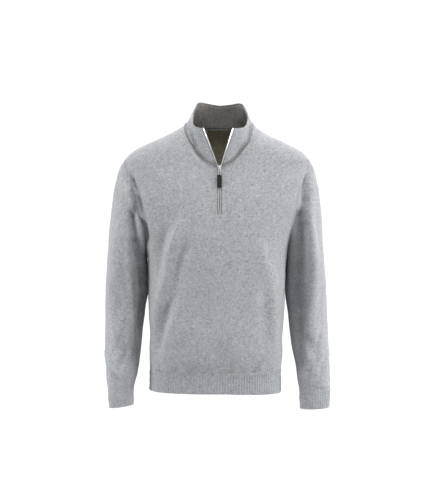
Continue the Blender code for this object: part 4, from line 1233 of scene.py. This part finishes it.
def feed(tree, socket, value):
    """Links an output to a socket, or sets the socket's own value."""
    if isinstance(value, bpy.types.NodeSocket):
        tree.links.new(value, socket)
    else:
        socket.default_value = value


def maths(tree, operation, *values):
    made = node(tree, "ShaderNodeMath", operation=operation)
    for socket, value in zip(made.inputs, values):
        feed(tree, socket, value)
    return made.outputs[0]


def add(tree, *values):
    total = values[0]
    for value in values[1:]:
        total = maths(tree, "ADD", total, value)
    return total


def times(tree, *values):
    total = values[0]
    for value in values[1:]:
        total = maths(tree, "MULTIPLY", total, value)
    return total


def bell(tree, value, wide):
    """1 where a value is 0, fading over a width."""
    share = maths(tree, "DIVIDE", value, wide)
    return maths(tree, "EXPONENT", times(tree, share, share, -1.0))


def slope(tree, value, low, high):
    """0 below a value and 1 above another, with a soft change between them."""
    made = node(tree, "ShaderNodeMapRange", interpolation_type="SMOOTHSTEP")
    feed(tree, made.inputs["Value"], value)
    made.inputs["From Min"].default_value = low
    made.inputs["From Max"].default_value = high
    return made.outputs[0]


def noise(tree, vector, size, detail=2.0, stretch=None):
    """Noise between 0 and 1 with features of a size in millimetres."""
    if stretch:
        scale = node(tree, "ShaderNodeVectorMath", operation="MULTIPLY")
        feed(tree, scale.inputs[0], vector)
        scale.inputs[1].default_value = stretch
        vector = scale.outputs[0]
    made = node(tree, "ShaderNodeTexNoise")
    feed(tree, made.inputs["Vector"], vector)
    made.inputs["Scale"].default_value = 1.0 / size
    made.inputs["Detail"].default_value = detail
    return made.outputs["Fac"]


def shader_material(name, roughness, metallic=0.0, sheen=0.0):
    made = bpy.data.materials.new(name)
    made.use_nodes = True
    shader = made.node_tree.nodes["Principled BSDF"]
    shader.inputs["Roughness"].default_value = roughness
    shader.inputs["Metallic"].default_value = metallic
    shader.inputs["Sheen Weight"].default_value = sheen
    shader.inputs["Sheen Roughness"].default_value = SHEEN_ROUGHNESS
    return made, made.node_tree, shader


def knit_height(tree, vector):
    """Wales and V-shaped stitches of jersey, 0 to 1."""
    parts = node(tree, "ShaderNodeSeparateXYZ")
    feed(tree, parts.inputs[0], vector)
    u, v = parts.outputs[0], parts.outputs[1]
    share = maths(tree, "FRACT", times(tree, u, 1 / WALE))
    leg = maths(tree, "ABSOLUTE", maths(tree, "SUBTRACT", share, 0.5))
    wale = maths(tree, "SINE", times(tree, leg, 2 * math.pi))
    level = add(tree, v, times(tree, leg, -COURSE * STITCH_SLANT))
    course = maths(tree, "SINE", times(tree, level, 2 * math.pi / COURSE))
    return add(tree, times(tree, wale, WALE_SHARE), times(tree, course, COURSE_SHARE))


def cloth_material(name, colour, fleck, knit=1.0, seam_shade=SEAM_SHADE, stitch_shade_and_thread=STITCH_SHADE):
    """Marled knit: lighter and darker fibres, fuzz, jersey stitches, and the grooves of its sewing, with
    painted shade along its seams and stitches where their tones are below zero.
    """
    made, tree, shader = shader_material(name, CLOTH_ROUGHNESS, sheen=SHEEN)
    place = node(tree, "ShaderNodeAttribute", attribute_name="cloth").outputs["Vector"]
    seam = node(tree, "ShaderNodeAttribute", attribute_name="seam").outputs["Fac"]
    stitch = node(tree, "ShaderNodeAttribute", attribute_name="stitch").outputs["Fac"]
    scale = node(tree, "ShaderNodeVectorMath", operation="SCALE")
    feed(tree, scale.inputs[0], node(tree, "ShaderNodeTexCoord").outputs["Object"])
    scale.inputs["Scale"].default_value = 1 / MM
    spot = scale.outputs[0]
    tones = [
        times(tree, maths(tree, "SUBTRACT", noise(tree, spot, size, detail, stretch), 0.5), share * fleck)
        for size, detail, stretch, share in FLECKS
    ]
    # Tones below zero along the seams and stitches are painted shade in their grooves; the facing's tone
    # above zero is its lighter thread
    tone = add(
        tree,
        *tones,
        times(tree, bell(tree, seam, SEAM_WIDE), seam_shade),
        times(tree, bell(tree, stitch, STITCH_WIDE), stitch_shade_and_thread),
        1.0,
    )
    paint = node(tree, "ShaderNodeVectorMath", operation="SCALE")
    paint.inputs[0].default_value = colour
    feed(tree, paint.inputs["Scale"], tone)
    tree.links.new(paint.outputs[0], shader.inputs["Base Color"])
    fuzz = noise(tree, spot, FUZZ_SIZE, 3.0)
    pucker = noise(tree, spot, PUCKER_SIZE, 1.0)
    height = add(
        tree,
        times(tree, knit_height(tree, place), KNIT_HEIGHT * knit),
        times(tree, fuzz, FUZZ_HEIGHT),
        times(tree, bell(tree, seam, SEAM_WIDE), -SEAM_DEEP),
        times(tree, bell(tree, stitch, STITCH_WIDE), -STITCH_DEEP),
        times(tree, pucker, bell(tree, maths(tree, "MINIMUM", seam, stitch), PUCKER_REACH), PUCKER_HEIGHT),
    )
    bump = node(tree, "ShaderNodeBump")
    bump.inputs["Distance"].default_value = MM
    feed(tree, bump.inputs["Height"], height)
    tree.links.new(bump.outputs[0], shader.inputs["Normal"])
    return made


def object_material(name, colour, roughness, metallic, grain, depth, spread, gloss=0.5):
    """Metal, rubber or thread: a slight cloud in colour and roughness, and a fine grain."""
    made, tree, shader = shader_material(name, roughness, metallic)
    shader.inputs["Specular IOR Level"].default_value = gloss
    place = node(tree, "ShaderNodeTexCoord").outputs["Object"]
    cloud = noise(tree, place, grain * CLOUD_SIZE * MM)
    tone = add(tree, 1.0 - spread / 2, times(tree, cloud, spread))
    paint = node(tree, "ShaderNodeVectorMath", operation="SCALE")
    paint.inputs[0].default_value = colour
    feed(tree, paint.inputs["Scale"], tone)
    tree.links.new(paint.outputs[0], shader.inputs["Base Color"])
    rough = add(tree, roughness - ROUGH_SPREAD / 2, times(tree, cloud, ROUGH_SPREAD))
    tree.links.new(rough, shader.inputs["Roughness"])
    bump = node(tree, "ShaderNodeBump")
    bump.inputs["Distance"].default_value = depth * MM
    feed(tree, bump.inputs["Height"], noise(tree, place, grain * MM))
    tree.links.new(bump.outputs[0], shader.inputs["Normal"])
    return made


def add_camera():
    """The photograph's view: level, its axis a little below the middle of the chest."""
    data = bpy.data.cameras.new("camera")
    data.sensor_fit = "VERTICAL"
    data.sensor_height = 24.0
    data.lens = data.sensor_height * CAMERA_DISTANCE / FRAME_HEIGHT
    item = add_item("camera", data)
    item.location = (CAMERA_X * MM, -CAMERA_DISTANCE * MM, CAMERA_Z * MM)
    item.rotation_euler = (math.pi / 2, 0, 0)
    bpy.context.scene.camera = item


def add_light(name, spot, size, power):
    data = bpy.data.lights.new(name, "AREA")
    data.shape = "SQUARE"
    data.size = size
    data.energy = power
    item = add_item(name, data)
    item.location = spot
    x, y, z = -spot[0], -spot[1], CAMERA_Z * MM - spot[2]
    item.rotation_euler = (math.atan2(math.hypot(x, y), -z), 0, math.atan2(y, x) - math.pi / 2)


def add_studio():
    """A pale floor, a white room that is brighter above and behind, and soft lights."""
    add_camera()
    world = bpy.data.worlds.new("room")
    world.use_nodes = True
    tree = world.node_tree
    background = tree.nodes["Background"]
    background.inputs["Color"].default_value = (1.0, 1.0, 1.0, 1)
    parts = node(tree, "ShaderNodeSeparateXYZ")
    tree.links.new(node(tree, "ShaderNodeTexCoord").outputs["Generated"], parts.inputs[0])
    room = add(
        tree,
        ROOM_FRONT,
        times(tree, slope(tree, parts.outputs[1], *ROOM_TURN), ROOM_BEHIND - ROOM_FRONT),
        times(tree, slope(tree, parts.outputs[2], *CEILING_EDGE), CEILING),
        times(tree, slope(tree, times(tree, parts.outputs[2], -1.0), *BELOW_EDGE), ROOM_BELOW),
    )
    seen = node(tree, "ShaderNodeLightPath").outputs["Is Camera Ray"]
    lighting = times(tree, room, maths(tree, "SUBTRACT", 1.0, seen))
    tree.links.new(add(tree, lighting, times(tree, seen, BACKDROP)), background.inputs["Strength"])
    bpy.context.scene.world = world
    for name, spot, size, power in LIGHTS:
        add_light(name, spot, size, power)
    mesh = bpy.data.meshes.new("floor")
    half = FLOOR_SIZE / 2
    corners = [(-half, -half, 0), (half, -half, 0), (half, half, 0), (-half, half, 0)]
    mesh.from_pydata(corners, [], [(0, 1, 2, 3)])
    mesh.materials.append(object_material(*FLOOR_FINISH))
    floor = add_item("floor", mesh)
    floor.location = (0, 0, FLOOR_Z)
    floor.visible_diffuse = floor.visible_shadow = False  # the white floor would light the cloth from below
    bpy.context.scene.view_settings.view_transform = "Standard"


def add_panels(front, back, surfaces, armholes, placket):
    """The front panel with its slot for the zip, and the back panel."""
    neck_row = BODY_ROWS + CHEST_ROWS
    left, right = SIDE_COLUMNS, SIDE_COLUMNS + 1
    outer = front[0]
    seams = [outer[:, 0], outer[:, -1], outer[-1, :right], outer[-1, right:], outer[0]]
    seams += [outer[neck_row:, left], outer[neck_row:, right]]
    fields = cloth_fields(outer, seams, armholes + placket)
    yield "front_panel", wall_object(
        "front_panel_cloth", *front, surfaces, fields=fields,
        skip=lambda row, column: column == left and row >= neck_row - ZIP_ROWS,
    )
    outer = back[0]
    fields = cloth_fields(outer, [outer[:, 0], outer[:, -1], outer[-1], outer[0]], armholes)
    yield "back_panel", wall_object("back_panel_cloth", *back, surfaces, fields=fields)


def build():
    marl = cloth_material("marl_knit", MARL, MARL_FLECK)
    inside = cloth_material("marl_inside", INSIDE, INSIDE_FLECK, INSIDE_KNIT)
    ribbed = cloth_material("rib_knit", RIB, MARL_FLECK)
    lining = cloth_material("lining_knit", LINING_COLOUR, LINING_FLECK, stitch_shade_and_thread=LINING_STITCH_TONE)
    # The tape is painted darker beside the cloth's edge, as the shade under that edge
    tape = cloth_material("tape_weave", TAPE, TAPE_FLECK, TAPE_KNIT, seam_shade=TAPE_EDGE_SHADE)
    thread, metal, rubber = (object_material(*finish) for finish in FINISHES)
    front = panel_walls("front", front_grid())
    back = panel_walls("back", back_grid())
    sewing = {
        "armhole_stitches": [
            armhole_stitches(side, half, off)
            for half in (-1, 1) for off in ARMHOLE_STITCHES for side in ("front", "back")
        ],
        "placket_stitches": placket_stitches(),
    }
    armholes, placket = ([line for line, _ in runs] for runs in sewing.values())
    pieces = dict(add_panels(front, back, [marl, inside], armholes, placket))
    cuff_runs = []
    for end, side in (("left", -1), ("right", 1)):
        name = "sleeve_" + end
        pieces[name], run = add_sleeve(name + "_cloth", side, front, back, [marl, inside])
        cuff_runs.append(run)
    ribs = [("hem_rib", hem_place), ("cuff_left", cuff_place(-1)), ("cuff_right", cuff_place(1))]
    for name, place in ribs:
        pieces[name] = add_rib(name + "_cloth", place, [ribbed, ribbed])
    *collar, pieces["collar"], pieces["collar_facing"], collar_runs = add_collar(
        front, back, [marl, marl], [lining, lining]
    )
    for end, side in (("left", -1), ("right", 1)):
        name = "zip_tape_" + end
        pieces[name] = add_tape(name + "_cloth", side, front, collar, [tape, tape])
    for name, piece in pieces.items():
        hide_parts(name)
        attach(piece, "garment")
    for end, side in (("left", -1), ("right", 1)):
        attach(add_teeth("teeth_" + end, side, front, collar, metal), "garment")
    sewing["collar_stitches"] = collar_runs
    sewing["hem_stitches"] = [hem_stitches(side) for side in ("front", "back")]
    sewing["cuff_stitches"] = cuff_runs
    for name, lines in sewing.items():
        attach(add_stitches(name, lines, thread), "garment")
    for name, body, surface, bevel in HARD_NODES:
        surface = {"metal": metal, "rubber": rubber}[surface]
        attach(dressed_node(name, name + "_finish", surface, bevel), body)
    for name, (width, length, area, held, rests_on) in CUTS.items():
        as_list(rests_on)


build()
add_studio()
